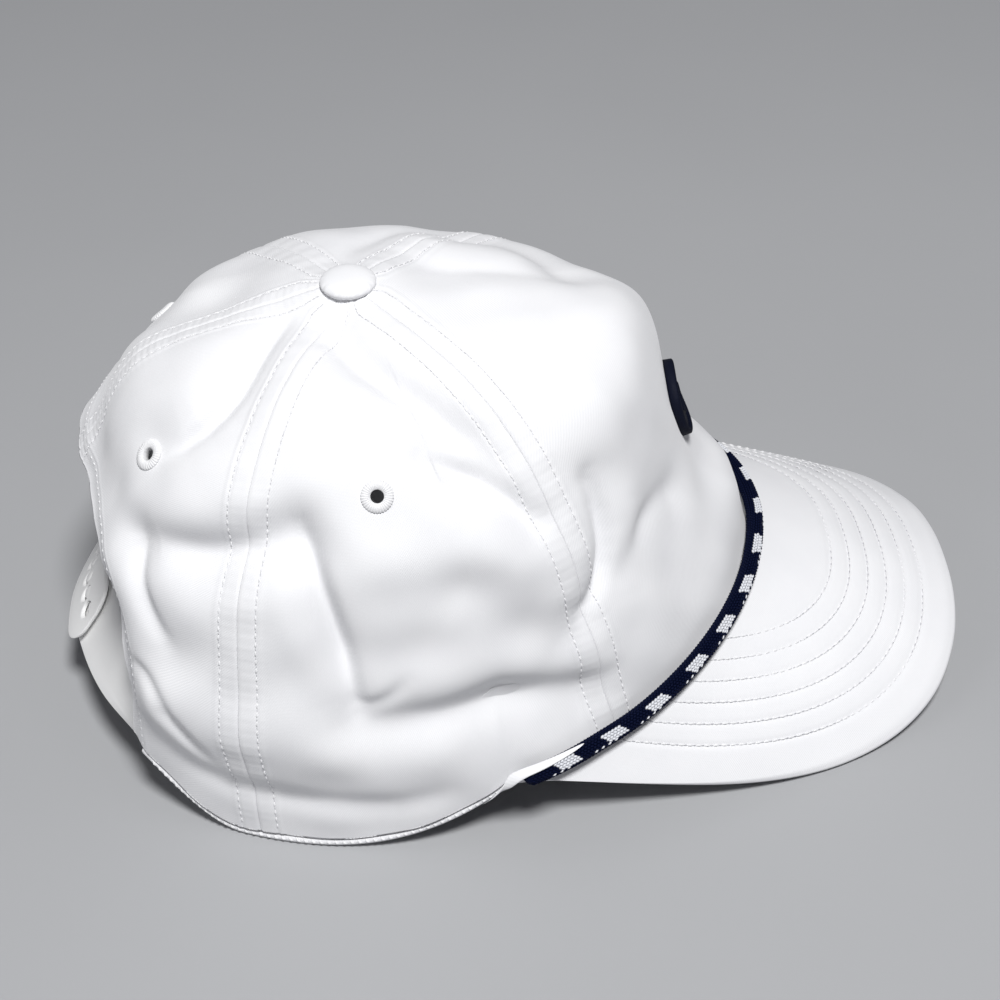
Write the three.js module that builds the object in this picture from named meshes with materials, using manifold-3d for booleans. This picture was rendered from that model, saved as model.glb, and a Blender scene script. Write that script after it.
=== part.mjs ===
// Rope cap: a five-panel cotton cap with a stiff front panel, a bent peak, a cord along the peak's
// seam, four sewn eyelets, a covered button and a snap strap across an arched opening at the back.
// Millimetres. The peak points to -Y, the wearer's right is -X and +Z is up. The cap stands as it
// would on a table: on the rim beside the ears and on the two side edges of the bent peak.
// Azimuth is in degrees round the crown, 0 at the front, 90 at the wearer's right, 180 behind.
// Height on the crown runs from 0 at the rim to 1 at the button.
import * as THREE from "three";
import { mergeVertices } from "three/addons/utils/BufferGeometryUtils.js";
import Module from "manifold-3d";

const wasm = await Module();
wasm.setup();

// Rim
const RIM_HALF_LENGTH = 100;
const RIM_HALF_WIDTH = 84;
const RIM_REAR_WIDENING = 0.045; // share by which the rim is wider behind than at the ears
const SIDE_REST_AZIMUTH = 108; // the rim comes down from the peak's corner to the table here
const RIM_FALL_POWER = 2.3; // it comes down steeply at first, then runs out flat
const REAR_RISE = 18; // height of the rim above the table at the back
const REAR_RISE_FROM = 118;
const REAR_RISE_TO = 141;

// Crown: superellipse profiles, blended round from the front to the sides to the back
const CROWN_HEIGHT = 123;
const TOP_RISE = 1.8; // the seams heap up under the button
const TOP_RISE_RADIUS = 16;
const BUTTON_BEHIND_CENTRE = 8.5;
const FULLNESS = { front: 4.6, side: 2.9, back: 2.25 };
const LEAN_IN = { front: 0.26, side: 0.1, back: 0.01 };
const WALL = 1.5;
const GAP = 0.3;
const FRONT_SEAM = 57;
const SIDE_SEAM = 115;
const PANEL_TOP = 0.97; // height at which the panels end, under the button
const MERIDIAN = 190; // length along the crown for one unit of height, near the rim

// Opening at the back
const ARCH_HALF_ANGLE = 40;
const ARCH_TOP = 0.37; // height on the crown
const ARCH_POWER = 3;

// Sweatband
const BAND_LIP = 2.5; // the rolled edge that shows below the panels
const BAND_HEIGHT = 32;
const BAND_THICKNESS = 1.2;
const BAND_GAP = 1.4; // clear of the panels' folds
const BAND_END = 137; // azimuth at which it stops, beside the opening

// Peak: a flat sheet bent round a cylinder that slopes down to the front
const PEAK_BEND_RADIUS = 98;
const PEAK_SLOPE = 19.5;
const PEAK_LIFT = 37.9; // height of its upper face at the middle of the seam
const PEAK_LENGTH = 65;
const PEAK_CORNER = 75; // azimuth at which its seam ends
const PEAK_HALF_WIDTH = 90; // flat half width in front of the corners
const PEAK_CORNER_DEPTH = 2; // the side edge starts this far in front of the seam's end
const PEAK_OUTLINE_POWER = 2.8;
const PEAK_THICKNESS = 3;
const PEAK_THINNING = 0.65; // share of its thickness that it loses at the corners

// Cord along the peak's seam
const ROPE_RADIUS = 2.5;
const ROPE_END = 74;
const ROPE_STEPS = 60;
const ROPE_QUARTER_SIDES = 2;

// Button, eyelets, badge and strap
const BUTTON_RADIUS = 7.4;
const BUTTON_HEIGHT = 2.6;
const EYELET_HOLE = 1.7;
const EYELET_RADIUS = 4.1;
const EYELET_NECK = 2.5;
const EYELET_SIDES = 12;
const EYELET_HOLD = 10; // the stitching keeps the cloth flat about this far from its middle
const EYELETS = [
  { name: "eyelet_side_right", azimuth: 88, height: 0.52 },
  { name: "eyelet_side_left", azimuth: -88, height: 0.52 },
  { name: "eyelet_rear_right", azimuth: 146, height: 0.53 },
  { name: "eyelet_rear_left", azimuth: -146, height: 0.53 },
];
const BADGE = { height: 0.305, halfWidth: 11, halfHeight: 11, thickness: 2.2, power: 2.3, clear: 0.6 };
const STRAP_HEIGHT = 19;
const STRAP_THICKNESS = 1.3;
const STRAP_ROOT = 138.2; // azimuth of its sewn ends, just under the rear panels' edges
const STRAP_OUTER_END = 193; // past the middle, towards the wearer's right
const STRAP_FLARE = 1.6; // its free end stands off by this much more
const STRAP_FLARE_FROM = 179;
const STRAP_INNER_END = 208;
const HOLE_STEP = 5; // degrees between the snap holes
const HOLE_COUNT = 8;
const PEG_COUNT = 5; // pegs that show through the holes
const HOLE_RADIUS = 2.5;
const PEG_RADIUS = 2.1;
const PEG_SHOWS = 0.3; // height of the pegs above the outer tab

// The strap's way across the opening: how far it lies inside the crown's line at its lower edge,
// and how much further its upper edge leans in.
const STRAP_COLUMNS = ["azimuth", "inset", "lean"];
const STRAP_PATH = [
  [130, 2.4, 0],
  [140, 2.6, 0.8],
  [150, 4.2, 8],
  [165, 5.2, 13],
  [180, 4.4, 13],
  [195, 5.2, 13],
].map((row) => named(STRAP_COLUMNS, row));

// Folds and dents of the cloth. Each runs through three places on the crown, given by azimuth and
// by height in hundredths. A positive depth sinks in, a negative one stands out.
const FOLD_COLUMNS = ["az1", "ht1", "az2", "ht2", "az3", "ht3", "width", "depth"];
const FOLDS = [
  [-14, 44, 6, 48, 34, 48, 14, -5], // stiff shoulder of the front panel
  [-54, 62, -38, 56, -24, 54, 11, 4], // where it slopes away on the left
  [-28, 23, 0, 24, 28, 23, 22, 4.8], // hollow of the front panel under it
  [-52, 80, -24, 77, -14, 56, 8, 1.3], // crease on top, left of the middle
  [-48, 11, -26, 10.5, 2, 9.8, 9, -3.2], // the cloth bulges over the cord, low on the left front
  [109, 89, 81, 72, 65, 52, 8, 3.2], // groove along the right front seam
  [76, 55, 68, 48.5, 61, 40, 8, 2.6], // second groove below it
  [46.5, 40, 49.5, 31, 57, 24, 8, 2.4], // fold beside the right front seam
  [26, 26, 35, 27, 45, 24, 8, 1.8], // fold low on the front panel
  [106, 49, 101.5, 35, 98, 21, 8, 2.2], // long fold below the right eyelet
  [93, 18.5, 79, 15, 62, 8.5, 9.5, 4.6], // fold over the rim's roll, down to the front seam
  [76, 35, 70, 29, 63, 21, 9, 2.4], // wide dent above it
  [97, 45, 81, 42, 66, 37, 9, -1.8], // swelling under the right eyelet
  [94, 31, 82, 28, 70, 24, 9, 1.4], // shallow hollow under the swelling
  [137, 39, 120, 43, 103, 46.5, 8.5, 4], // dent across the right rear seam
  [150, 86, 131, 69, 142, 54, 9, 2.8], // bent valley behind the right rear seam
  [139, 39, 135, 31, 128, 25, 8, 2.2], // fold under the rear eyelet
  [86, 15, 106, 18, 128, 18, 12, -3.8], // belly of the cloth over the rim
  [143, 7, 139, 14, 144, 24, 9, 3.5], // the opening's right edge draws in above its foot
  [154, 44, 180, 44, 206, 44, 17, 6.5], // the back sinks in above the opening
  [148, 24, 155, 34, 168, 38, 11, 3], // the opening's right edge draws in near its top
  [194, 34, 200, 28, 207, 20, 9, -2.5], // its left edge stands out
  [202, 74, 214, 74, 226, 70, 16, 4.5], // dent high on the left rear panel
  [206, 58, 214, 54, 222, 50, 12, 3], // and round the eyelet below it
  [-106, 50, -100, 38, -94, 22, 8, 3], // folds of the left side
  [-100, 86, -82, 75, -66, 58, 10, 1.5],
  [-88, 15, -106, 17, -126, 17, 13, -2.5],
].map((row) => named(FOLD_COLUMNS, row));

const CLOTH = { color: 0xf2f1ef, roughness: 0.9, metalness: 0 };
const NAVY = { color: 0x0d1430, roughness: 0.8, metalness: 0 };
const PLASTIC = { color: 0xefeeea, roughness: 0.45, metalness: 0 };

const DEGREE = Math.PI / 180;

function named(columns, row) {
  return Object.fromEntries(columns.map((column, i) => [column, row[i]]));
}

function clamp01(value) {
  return Math.min(1, Math.max(0, value));
}

function smooth01(value) {
  const t = clamp01(value);
  return t * t * (3 - 2 * t);
}

// Azimuth without its sign, 0 at the front to 180 behind.
function turned(azimuth) {
  return Math.abs(((((azimuth + 180) % 360) + 360) % 360) - 180);
}

function rimPlan(azimuth) {
  const angle = azimuth * DEGREE;
  const widening = 1 - RIM_REAR_WIDENING * Math.cos(angle);
  return [-RIM_HALF_WIDTH * widening * Math.sin(angle), -RIM_HALF_LENGTH * Math.cos(angle)];
}

// Peak, flat places: across from its middle line, and forward from the middle of its seam.
const slope = PEAK_SLOPE * DEGREE;
const sheetUp = new THREE.Vector3(0, -Math.sin(slope), Math.cos(slope));
const sheetForward = new THREE.Vector3(0, -Math.cos(slope), -Math.sin(slope));

function sheetNormal(across) {
  const angle = across / PEAK_BEND_RADIUS;
  return sheetUp.clone().multiplyScalar(Math.cos(angle)).setX(Math.sin(angle));
}

function sheetPlace(across, forward, below = 0) {
  const angle = across / PEAK_BEND_RADIUS;
  return new THREE.Vector3(PEAK_BEND_RADIUS * Math.sin(angle), -RIM_HALF_LENGTH, PEAK_LIFT)
    .addScaledVector(sheetUp, -PEAK_BEND_RADIUS * (1 - Math.cos(angle)))
    .addScaledVector(sheetForward, forward)
    .addScaledVector(sheetNormal(across), -below);
}

// The flat place whose point at this depth in the sheet lies above or below a point of the plan.
function flatPlace(x, y, below = 0) {
  const radius = PEAK_BEND_RADIUS - below;
  const angle = Math.asin(x / radius);
  const drop = PEAK_BEND_RADIUS - radius * Math.cos(angle);
  const forward = (-RIM_HALF_LENGTH - y + drop * Math.sin(slope)) / Math.cos(slope);
  return [PEAK_BEND_RADIUS * angle, forward];
}

// Height of the rim's lowest line above the table.
function rimHeight(azimuth) {
  const away = turned(azimuth);
  const onPeak = (at) => sheetPlace(...flatPlace(...rimPlan(at))).z - PEAK_THICKNESS;
  if (away < PEAK_CORNER) return onPeak(away);
  const t = clamp01((away - PEAK_CORNER) / (SIDE_REST_AZIMUTH - PEAK_CORNER));
  const rise = smooth01((away - REAR_RISE_FROM) / (REAR_RISE_TO - REAR_RISE_FROM));
  return onPeak(PEAK_CORNER) * (1 - t) ** RIM_FALL_POWER + REAR_RISE * rise;
}

function bell(distance, width) {
  return Math.exp(-((distance / width) ** 2));
}

function blended(values, cosine) {
  const end = cosine > 0 ? values.front : values.back;
  return values.side + (end - values.side) * cosine * cosine;
}

// The crown's outer face without its folds.
function smoothFace(azimuth, height) {
  const [x, y] = rimPlan(azimuth);
  const foot = rimHeight(azimuth) + BAND_LIP;
  const cosine = Math.cos(azimuth * DEGREE);
  const power = blended(FULLNESS, cosine);
  const angle = (height * Math.PI) / 2;
  const c = Math.cos(angle);
  const s = Math.sin(angle);
  const size = (c ** power + s ** power) ** (1 / power);
  const rise = s / size;
  const reach = (c / size) * (1 - blended(LEAN_IN, cosine) * rise);
  const heap = TOP_RISE * bell(Math.hypot(x, y) * reach, TOP_RISE_RADIUS);
  return new THREE.Vector3(
    x * reach,
    y * reach + BUTTON_BEHIND_CENTRE * rise,
    foot * (1 - rise) + CROWN_HEIGHT * rise + heap,
  );
}

function smoothNormal(azimuth, height) {
  const low = Math.min(height, 0.985);
  const along = smoothFace(azimuth + 0.2, low).sub(smoothFace(azimuth - 0.2, low));
  const upward = smoothFace(azimuth, low + 0.002).sub(smoothFace(azimuth, Math.max(0, low - 0.002)));
  return upward.cross(along).normalize();
}

const FOLD_PARTS = 8;

// Places on the smooth face along a fold: a parabola through its three places.
function foldLine(fold) {
  const through = (t, a, b, c) => a * (1 - t) * (1 - 2 * t) + 4 * b * t * (1 - t) + c * t * (2 * t - 1);
  return Array.from({ length: FOLD_PARTS + 1 }, (_, i) => {
    const t = i / FOLD_PARTS;
    const azimuth = through(t, fold.az1, fold.az2, fold.az3);
    return smoothFace(azimuth, through(t, fold.ht1, fold.ht2, fold.ht3) / 100);
  });
}

const foldLines = FOLDS.map(foldLine);

function distanceToLine(place, line) {
  const nearest = new THREE.Vector3();
  const piece = new THREE.Line3();
  let best = Infinity;
  for (let i = 1; i < line.length; i++) {
    piece.set(line[i - 1], line[i]).closestPointToPoint(place, true, nearest);
    best = Math.min(best, nearest.distanceTo(place));
  }
  return best;
}

const eyeletPlaces = EYELETS.map(({ azimuth, height }) => smoothFace(azimuth, height));

// How far the folds alone sink the cloth at a place of the smooth face.
function looseDepth(place) {
  const sunk = (fold, i) => fold.depth * bell(distanceToLine(place, foldLines[i]), fold.width);
  return FOLDS.reduce((total, fold, i) => total + sunk(fold, i), 0);
}

const eyeletDepths = eyeletPlaces.map(looseDepth);

// The same with the cloth held flat round each eyelet.
function foldDepth(place) {
  return eyeletPlaces.reduce((depth, at, i) => {
    const hold = bell(at.distanceTo(place), EYELET_HOLD);
    return depth + (eyeletDepths[i] - depth) * hold;
  }, looseDepth(place));
}

// A place on the folded crown, at a depth below its outer face.
function crownPlace(azimuth, height, depth = 0) {
  const place = smoothFace(azimuth, height);
  const sunk = foldDepth(place) + depth;
  return place.addScaledVector(smoothNormal(azimuth, height), -sunk);
}

// Direction out of the folded crown.
function crownNormal(azimuth, height) {
  const along = crownPlace(azimuth + 1, height).sub(crownPlace(azimuth - 1, height));
  const upward = crownPlace(azimuth, height + 0.01).sub(crownPlace(azimuth, height - 0.01));
  return upward.cross(along).normalize();
}

// A place near the rim by its rise above the rim's lowest line, also below the panels' edge.
function rimPlace(azimuth, depth, rise) {
  if (rise >= BAND_LIP) return crownPlace(azimuth, (rise - BAND_LIP) / MERIDIAN, depth);
  const place = crownPlace(azimuth, 0, depth);
  return place.setZ(place.z - BAND_LIP + rise);
}

// A closed body from corners and faces, with its faces turned out.
function body(corners, faces) {
  let volume = 0;
  for (let i = 0; i < faces.length; i += 3) {
    const [a, b, c] = [corners[faces[i]], corners[faces[i + 1]], corners[faces[i + 2]]];
    volume += a.dot(b.clone().cross(c));
  }
  const order = volume < 0 ? faces.slice().reverse() : faces;
  const positions = corners.flatMap((corner) => corner.toArray());
  return new THREE.BufferGeometry()
    .setAttribute("position", new THREE.Float32BufferAttribute(positions, 3))
    .setIndex(order);
}

// A wall over a grid: place(a, b, side) with a and b from 0 to 1, side 0 outside and 1 inside.
function wall(columns, rows, place) {
  const corners = [];
  for (const side of [0, 1])
    for (let j = 0; j <= rows; j++)
      for (let i = 0; i <= columns; i++) corners.push(place(i / columns, j / rows, side));
  const at = (i, j, side) => (side * (rows + 1) + j) * (columns + 1) + i;
  const faces = [];
  // Two triangles, split along the shorter diagonal.
  const quad = (a, b, c, d) => {
    const short = corners[a].distanceTo(corners[c]) <= corners[b].distanceTo(corners[d]);
    faces.push(...(short ? [a, b, c, a, c, d] : [b, c, d, b, d, a]));
  };
  for (let j = 0; j < rows; j++) {
    for (let i = 0; i < columns; i++) {
      quad(at(i, j, 0), at(i + 1, j, 0), at(i + 1, j + 1, 0), at(i, j + 1, 0));
      quad(at(i, j, 1), at(i, j + 1, 1), at(i + 1, j + 1, 1), at(i + 1, j, 1));
    }
    quad(at(0, j, 0), at(0, j + 1, 0), at(0, j + 1, 1), at(0, j, 1));
    quad(at(columns, j, 0), at(columns, j, 1), at(columns, j + 1, 1), at(columns, j + 1, 0));
  }
  for (let i = 0; i < columns; i++) {
    quad(at(i, 0, 0), at(i, 0, 1), at(i + 1, 0, 1), at(i + 1, 0, 0));
    quad(at(i, rows, 0), at(i + 1, rows, 0), at(i + 1, rows, 1), at(i, rows, 1));
  }
  return body(corners, faces);
}

// A closed outline, a list of [x, y], carried along stations from 0 to 1, with flat ends.
function swept(stations, outline, place) {
  const corners = [];
  for (let k = 0; k <= stations; k++)
    for (const [x, y] of outline) corners.push(place(k / stations, x, y));
  const n = outline.length;
  const faces = [];
  for (let k = 0; k < stations; k++)
    for (let i = 0; i < n; i++) {
      const [a, b] = [k * n + i, k * n + ((i + 1) % n)];
      faces.push(a, b, b + n, a, b + n, a + n);
    }
  const flat = outline.map(([x, y]) => new THREE.Vector2(x, y));
  const turn = THREE.ShapeUtils.isClockWise(flat) ? -1 : 1;
  for (const [a, b, c] of THREE.ShapeUtils.triangulateShape(flat, [])) {
    const end = stations * n;
    if (turn > 0) faces.push(c, b, a, a + end, b + end, c + end);
    else faces.push(a, b, c, c + end, b + end, a + end);
  }
  return body(corners, faces);
}

function joined(geometry) {
  const plain = geometry.clone();
  for (const name of ["normal", "uv"]) plain.deleteAttribute(name);
  return mergeVertices(plain, 1e-4);
}

function toSolid(geometry) {
  const whole = joined(geometry);
  return new wasm.Manifold(
    new wasm.Mesh({
      numProp: 3,
      vertProperties: new Float32Array(whole.attributes.position.array),
      triVerts: new Uint32Array(whole.index.array),
    }),
  );
}

function toGeometry(solid) {
  const mesh = solid.getMesh();
  return new THREE.BufferGeometry()
    .setAttribute("position", new THREE.BufferAttribute(mesh.vertProperties, 3))
    .setIndex(new THREE.BufferAttribute(mesh.triVerts, 1));
}

// A round pin through a place, along a direction, from below it to above it.
function pin(place, direction, radius, below, above, sides) {
  const length = below + above;
  const turn = new THREE.Quaternion().setFromUnitVectors(new THREE.Vector3(0, 1, 0), direction);
  return new THREE.CylinderGeometry(radius, radius, length, sides)
    .translate(0, (above - below) / 2, 0)
    .applyQuaternion(turn)
    .translate(place.x, place.y, place.z);
}

// Azimuth on a panel's side edge, kept half a gap from the seam.
function besideSeam(seam, height, side) {
  const at = smoothFace(seam, height);
  const fromAxis = Math.hypot(at.x, at.y - BUTTON_BEHIND_CENTRE * (at.z / CROWN_HEIGHT));
  return seam + (side * GAP) / 2 / Math.max(fromAxis, 1) / DEGREE;
}

const ROWS = 15;

// A panel between two seams, with a straight lower edge on the rim.
function panel(from, to, columns) {
  return wall(columns, ROWS, (a, b, side) => {
    const height = b * PANEL_TOP;
    const start = besideSeam(from, height, 1);
    const end = besideSeam(to, height, -1);
    return crownPlace(start + (end - start) * a, height, side * WALL);
  });
}

const REAR_COLUMNS = 14;
const FOOT_SHARE = 5 / REAR_COLUMNS; // share of the columns on the rim; the others end on the arch
const FOOT_COLUMN_TOP = 128; // azimuth at the top of the column that starts at the arch's foot

// Lower edge of a rear panel as azimuth and height: along the rim, then up the arch.
function rearEdge(a) {
  const foot = 180 - ARCH_HALF_ANGLE;
  if (a <= FOOT_SHARE) return [SIDE_SEAM + ((foot - SIDE_SEAM) * a) / FOOT_SHARE, 0];
  const angle = (((a - FOOT_SHARE) / (1 - FOOT_SHARE)) * Math.PI) / 2;
  const power = 2 / ARCH_POWER;
  const cosine = Math.max(0, Math.cos(angle)) ** power;
  return [180 - ARCH_HALF_ANGLE * cosine, ARCH_TOP * Math.sin(angle) ** power];
}

// A rear panel; side is 1 for the wearer's right and -1 for the left.
function rearPanel(hand) {
  return wall(REAR_COLUMNS, ROWS, (a, b, side) => {
    const [edgeAzimuth, edgeHeight] = rearEdge(a);
    const height = edgeHeight + (PANEL_TOP - edgeHeight) * b;
    const topAzimuth =
      a < FOOT_SHARE
        ? SIDE_SEAM + ((FOOT_COLUMN_TOP - SIDE_SEAM) * a) / FOOT_SHARE
        : 180 - ((180 - FOOT_COLUMN_TOP) * (1 - a)) / (1 - FOOT_SHARE);
    const azimuth = edgeAzimuth + (topAzimuth - edgeAzimuth) * b;
    const start = besideSeam(SIDE_SEAM, height, 1);
    const end = besideSeam(180, height, -1);
    const kept = Math.min(end, Math.max(start, azimuth));
    return crownPlace(hand * kept, height, side * WALL);
  });
}

const BAND_STATIONS = 50;

// The sweatband lies inside the panels, and its rolled edge shows below them.
function sweatband() {
  const outer = WALL + BAND_GAP;
  const inner = outer + BAND_THICKNESS;
  const section = [
    [0.3, 1.2],
    [0.6, 0.35],
    [1.5, 0],
    [2.6, 0.1],
    [inner, 0.8],
    [inner, 12],
    [inner, 22],
    [inner, BAND_HEIGHT],
    [outer, BAND_HEIGHT],
    [outer, 22],
    [outer, 12],
    [outer, 2.1],
    [0.8, 2.1],
  ];
  return swept(BAND_STATIONS, section, (t, depth, rise) =>
    rimPlace(BAND_END * (2 * t - 1), depth, rise),
  );
}

const PEAK_COLUMNS = 30;
const PEAK_ROWS = 7;

// Flat place on the peak's sheet: t from -1 to 1 across, k from 0 at the seam to 1 at the edge.
function peakFlat(t, k, below) {
  const [x, y] = rimPlan(-t * PEAK_CORNER);
  const clear = 1 + GAP / Math.hypot(x, y);
  const [seamAcross, seamForward] = flatPlace(x * clear, y * clear, below);
  const [cornerAcross, cornerForward] = flatPlace(...rimPlan(-PEAK_CORNER));
  const power = 2 / PEAK_OUTLINE_POWER;
  const angle = (t * Math.PI) / 2;
  const start = cornerForward + PEAK_CORNER_DEPTH;
  const width = PEAK_HALF_WIDTH + (cornerAcross - PEAK_HALF_WIDTH) * Math.abs(t) ** 12;
  const edgeAcross = width * Math.sign(t) * Math.abs(Math.sin(angle)) ** power;
  const edgeForward = start + (PEAK_LENGTH - start) * Math.max(0, Math.cos(angle)) ** power;
  return [
    seamAcross + (edgeAcross - seamAcross) * k,
    seamForward + (edgeForward - seamForward) * k,
  ];
}

function peak() {
  return wall(PEAK_COLUMNS, PEAK_ROWS, (a, b, side) => {
    const t = 2 * a - 1;
    const below = side * PEAK_THICKNESS * (1 - PEAK_THINNING * t ** 10);
    const [across, forward] = peakFlat(t, b, below);
    return sheetPlace(across, forward, below);
  });
}

// Middle of the cord, which touches the crown and the peak's upper face.
function ropePlace(azimuth) {
  const [across, forward] = flatPlace(...rimPlan(azimuth));
  const corner = sheetPlace(across, forward);
  const outward = crownNormal(azimuth, 0.02);
  const upward = sheetNormal(across);
  const clear = ROPE_RADIUS + GAP + 0.1;
  return corner.addScaledVector(outward.clone().add(upward), clear / (1 + outward.dot(upward)));
}

function rope() {
  const places = Array.from({ length: 25 }, (_, i) => ropePlace(ROPE_END * (i / 12 - 1)));
  const section = new THREE.Shape().absarc(0, 0, ROPE_RADIUS, 0, 2 * Math.PI);
  return new THREE.ExtrudeGeometry(section, {
    steps: ROPE_STEPS,
    curveSegments: 2 * ROPE_QUARTER_SIDES,
    bevelEnabled: false,
    extrudePath: new THREE.CatmullRomCurve3(places),
  });
}

function button() {
  const profile = [
    [0, 0],
    [BUTTON_RADIUS * 0.94, 0],
    [BUTTON_RADIUS, 0.6],
    [BUTTON_RADIUS * 0.93, 1.3],
    [BUTTON_RADIUS * 0.7, 2.05],
    [BUTTON_RADIUS * 0.38, 2.45],
    [0, BUTTON_HEIGHT],
  ];
  const outline = profile.map(([x, y]) => new THREE.Vector2(x, y));
  return new THREE.LatheGeometry(outline, 20).rotateX(Math.PI / 2);
}

// A ring of thread with a neck through the panel's hole.
function eyelet() {
  const profile = [
    [EYELET_HOLE, -WALL],
    [EYELET_NECK, -WALL],
    [EYELET_NECK, GAP],
    [EYELET_RADIUS, GAP],
    [EYELET_RADIUS, GAP + 0.5],
    [EYELET_RADIUS * 0.7, GAP + 0.9],
    [EYELET_HOLE, GAP + 0.6],
    [EYELET_HOLE, -WALL],
  ];
  return new THREE.LatheGeometry(
    profile.map(([x, y]) => new THREE.Vector2(x, y)),
    EYELET_SIDES,
  );
}

function eyeletHole({ azimuth, height }) {
  const clear = EYELET_NECK + GAP;
  return toSolid(pin(crownPlace(azimuth, height), crownNormal(azimuth, height), clear, 6, 6, EYELET_SIDES));
}

function withHoles(geometry, holes) {
  return toGeometry(holes.reduce((solid, hole) => solid.subtract(hole), toSolid(geometry)));
}

const BADGE_RINGS = 3;
const BADGE_SIDES = 24;

// A padded badge that follows the front panel; its outline is a superellipse.
function badge() {
  const place = (ring, sector, depth) => {
    const angle = (sector / BADGE_SIDES) * 2 * Math.PI;
    const power = 2 / BADGE.power;
    const part = (value) => Math.sign(value) * Math.abs(value) ** power;
    const across = (ring / BADGE_RINGS) * BADGE.halfWidth * part(Math.cos(angle));
    const upward = (ring / BADGE_RINGS) * BADGE.halfHeight * part(Math.sin(angle));
    const height = BADGE.height + upward / MERIDIAN;
    const scale = -smoothFace(-1, height).x;
    return crownPlace(across / scale, height, -depth);
  };
  const corners = [];
  for (const depth of [BADGE.clear + BADGE.thickness, BADGE.clear]) {
    corners.push(place(0, 0, depth));
    for (let ring = 1; ring <= BADGE_RINGS; ring++)
      for (let s = 0; s < BADGE_SIDES; s++) corners.push(place(ring, s, depth));
  }
  const layer = 1 + BADGE_RINGS * BADGE_SIDES;
  const at = (ring, s) => (ring === 0 ? 0 : 1 + (ring - 1) * BADGE_SIDES + (s % BADGE_SIDES));
  const faces = [];
  for (let s = 0; s < BADGE_SIDES; s++) {
    faces.push(0, at(1, s), at(1, s + 1), layer, layer + at(1, s + 1), layer + at(1, s));
    for (let ring = 1; ring < BADGE_RINGS; ring++) {
      const [a, b] = [at(ring, s), at(ring, s + 1)];
      const [c, d] = [at(ring + 1, s + 1), at(ring + 1, s)];
      faces.push(a, d, c, a, c, b);
      faces.push(layer + a, layer + c, layer + d, layer + a, layer + b, layer + c);
    }
    const [e, f] = [at(BADGE_RINGS, s), at(BADGE_RINGS, s + 1)];
    faces.push(e, layer + e, layer + f, e, layer + f, f);
  }
  return body(corners, faces);
}

const strapCurves = Object.fromEntries(
  ["inset", "lean"].map((column) => {
    const values = STRAP_PATH.map((row) => row[column]);
    return [column, new THREE.CubicInterpolant(STRAP_PATH.map((row) => row.azimuth), values, 1)];
  }),
);

// A value of the strap's table at an azimuth, the same on both sides of the middle.
function strapValue(azimuth, column) {
  return strapCurves[column].evaluate(turned(azimuth))[0];
}

// A place on the strap: out is measured outwards from the inner tab's outer face.
function strapPlace(azimuth, rise, out) {
  const lean = (strapValue(azimuth, "lean") * rise) / STRAP_HEIGHT;
  return rimPlace(azimuth, strapValue(azimuth, "inset") + lean - out, rise);
}

function strapDirection(azimuth, rise) {
  const along = strapPlace(azimuth + 1, rise, 0).sub(strapPlace(azimuth - 1, rise, 0));
  const upward = strapPlace(azimuth, rise + 1, 0).sub(strapPlace(azimuth, rise - 1, 0));
  return upward.cross(along).normalize();
}

// One tab of the strap, from its sewn root to its free end, which lies further out than the root.
function strapTab(from, to, out, flare, columns) {
  return wall(columns, 3, (a, b, side) => {
    const azimuth = from + (to - from) * a;
    const away = Math.abs(azimuth);
    const stand = flare * smooth01((away - STRAP_FLARE_FROM) / (STRAP_OUTER_END - STRAP_FLARE_FROM));
    const moved = out * smooth01((away - STRAP_ROOT - 2) / 9) + stand;
    return strapPlace(azimuth, 0.5 + STRAP_HEIGHT * b, moved - side * STRAP_THICKNESS);
  });
}

const STRAP_MIDDLE = 0.5 + STRAP_HEIGHT / 2;
const OUTER_OUT = STRAP_THICKNESS + 0.6; // the outer tab lies this far outside the inner one

// Azimuth of the snap holes, from the outer tab's free end.
function holeAzimuth(i) {
  return HOLE_STEP * (i + 0.9) - STRAP_OUTER_END;
}

// The outer tab comes from the wearer's left and has the holes.
function outerTab() {
  const tab = strapTab(-STRAP_ROOT, -STRAP_OUTER_END, OUTER_OUT, STRAP_FLARE, 24);
  const holes = Array.from({ length: HOLE_COUNT }, (_, i) => {
    const azimuth = holeAzimuth(i);
    const place = strapPlace(azimuth, STRAP_MIDDLE, 0);
    return toSolid(pin(place, strapDirection(azimuth, STRAP_MIDDLE), HOLE_RADIUS, 4, 6, 10));
  });
  return withHoles(tab, holes);
}

// The inner tab comes from the wearer's right and has the pegs.
function innerTab() {
  const tab = strapTab(STRAP_ROOT, STRAP_INNER_END, 0, 0, 26);
  const pegs = Array.from({ length: PEG_COUNT }, (_, i) => {
    const azimuth = holeAzimuth(i);
    const place = strapPlace(azimuth, STRAP_MIDDLE, 0);
    const height = OUTER_OUT + PEG_SHOWS;
    return toSolid(pin(place, strapDirection(azimuth, STRAP_MIDDLE), PEG_RADIUS, 0.6, height, 10));
  });
  return toGeometry(pegs.reduce((solid, peg) => solid.add(peg), toSolid(tab)));
}

const cap = new THREE.Group();

function add(name, geometry, look) {
  const mesh = new THREE.Mesh(geometry, new THREE.MeshStandardMaterial(look));
  mesh.name = name;
  cap.add(mesh);
  return mesh;
}

function holesIn(word) {
  return EYELETS.filter(({ name }) => name === "eyelet_" + word).map(eyeletHole);
}

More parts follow.
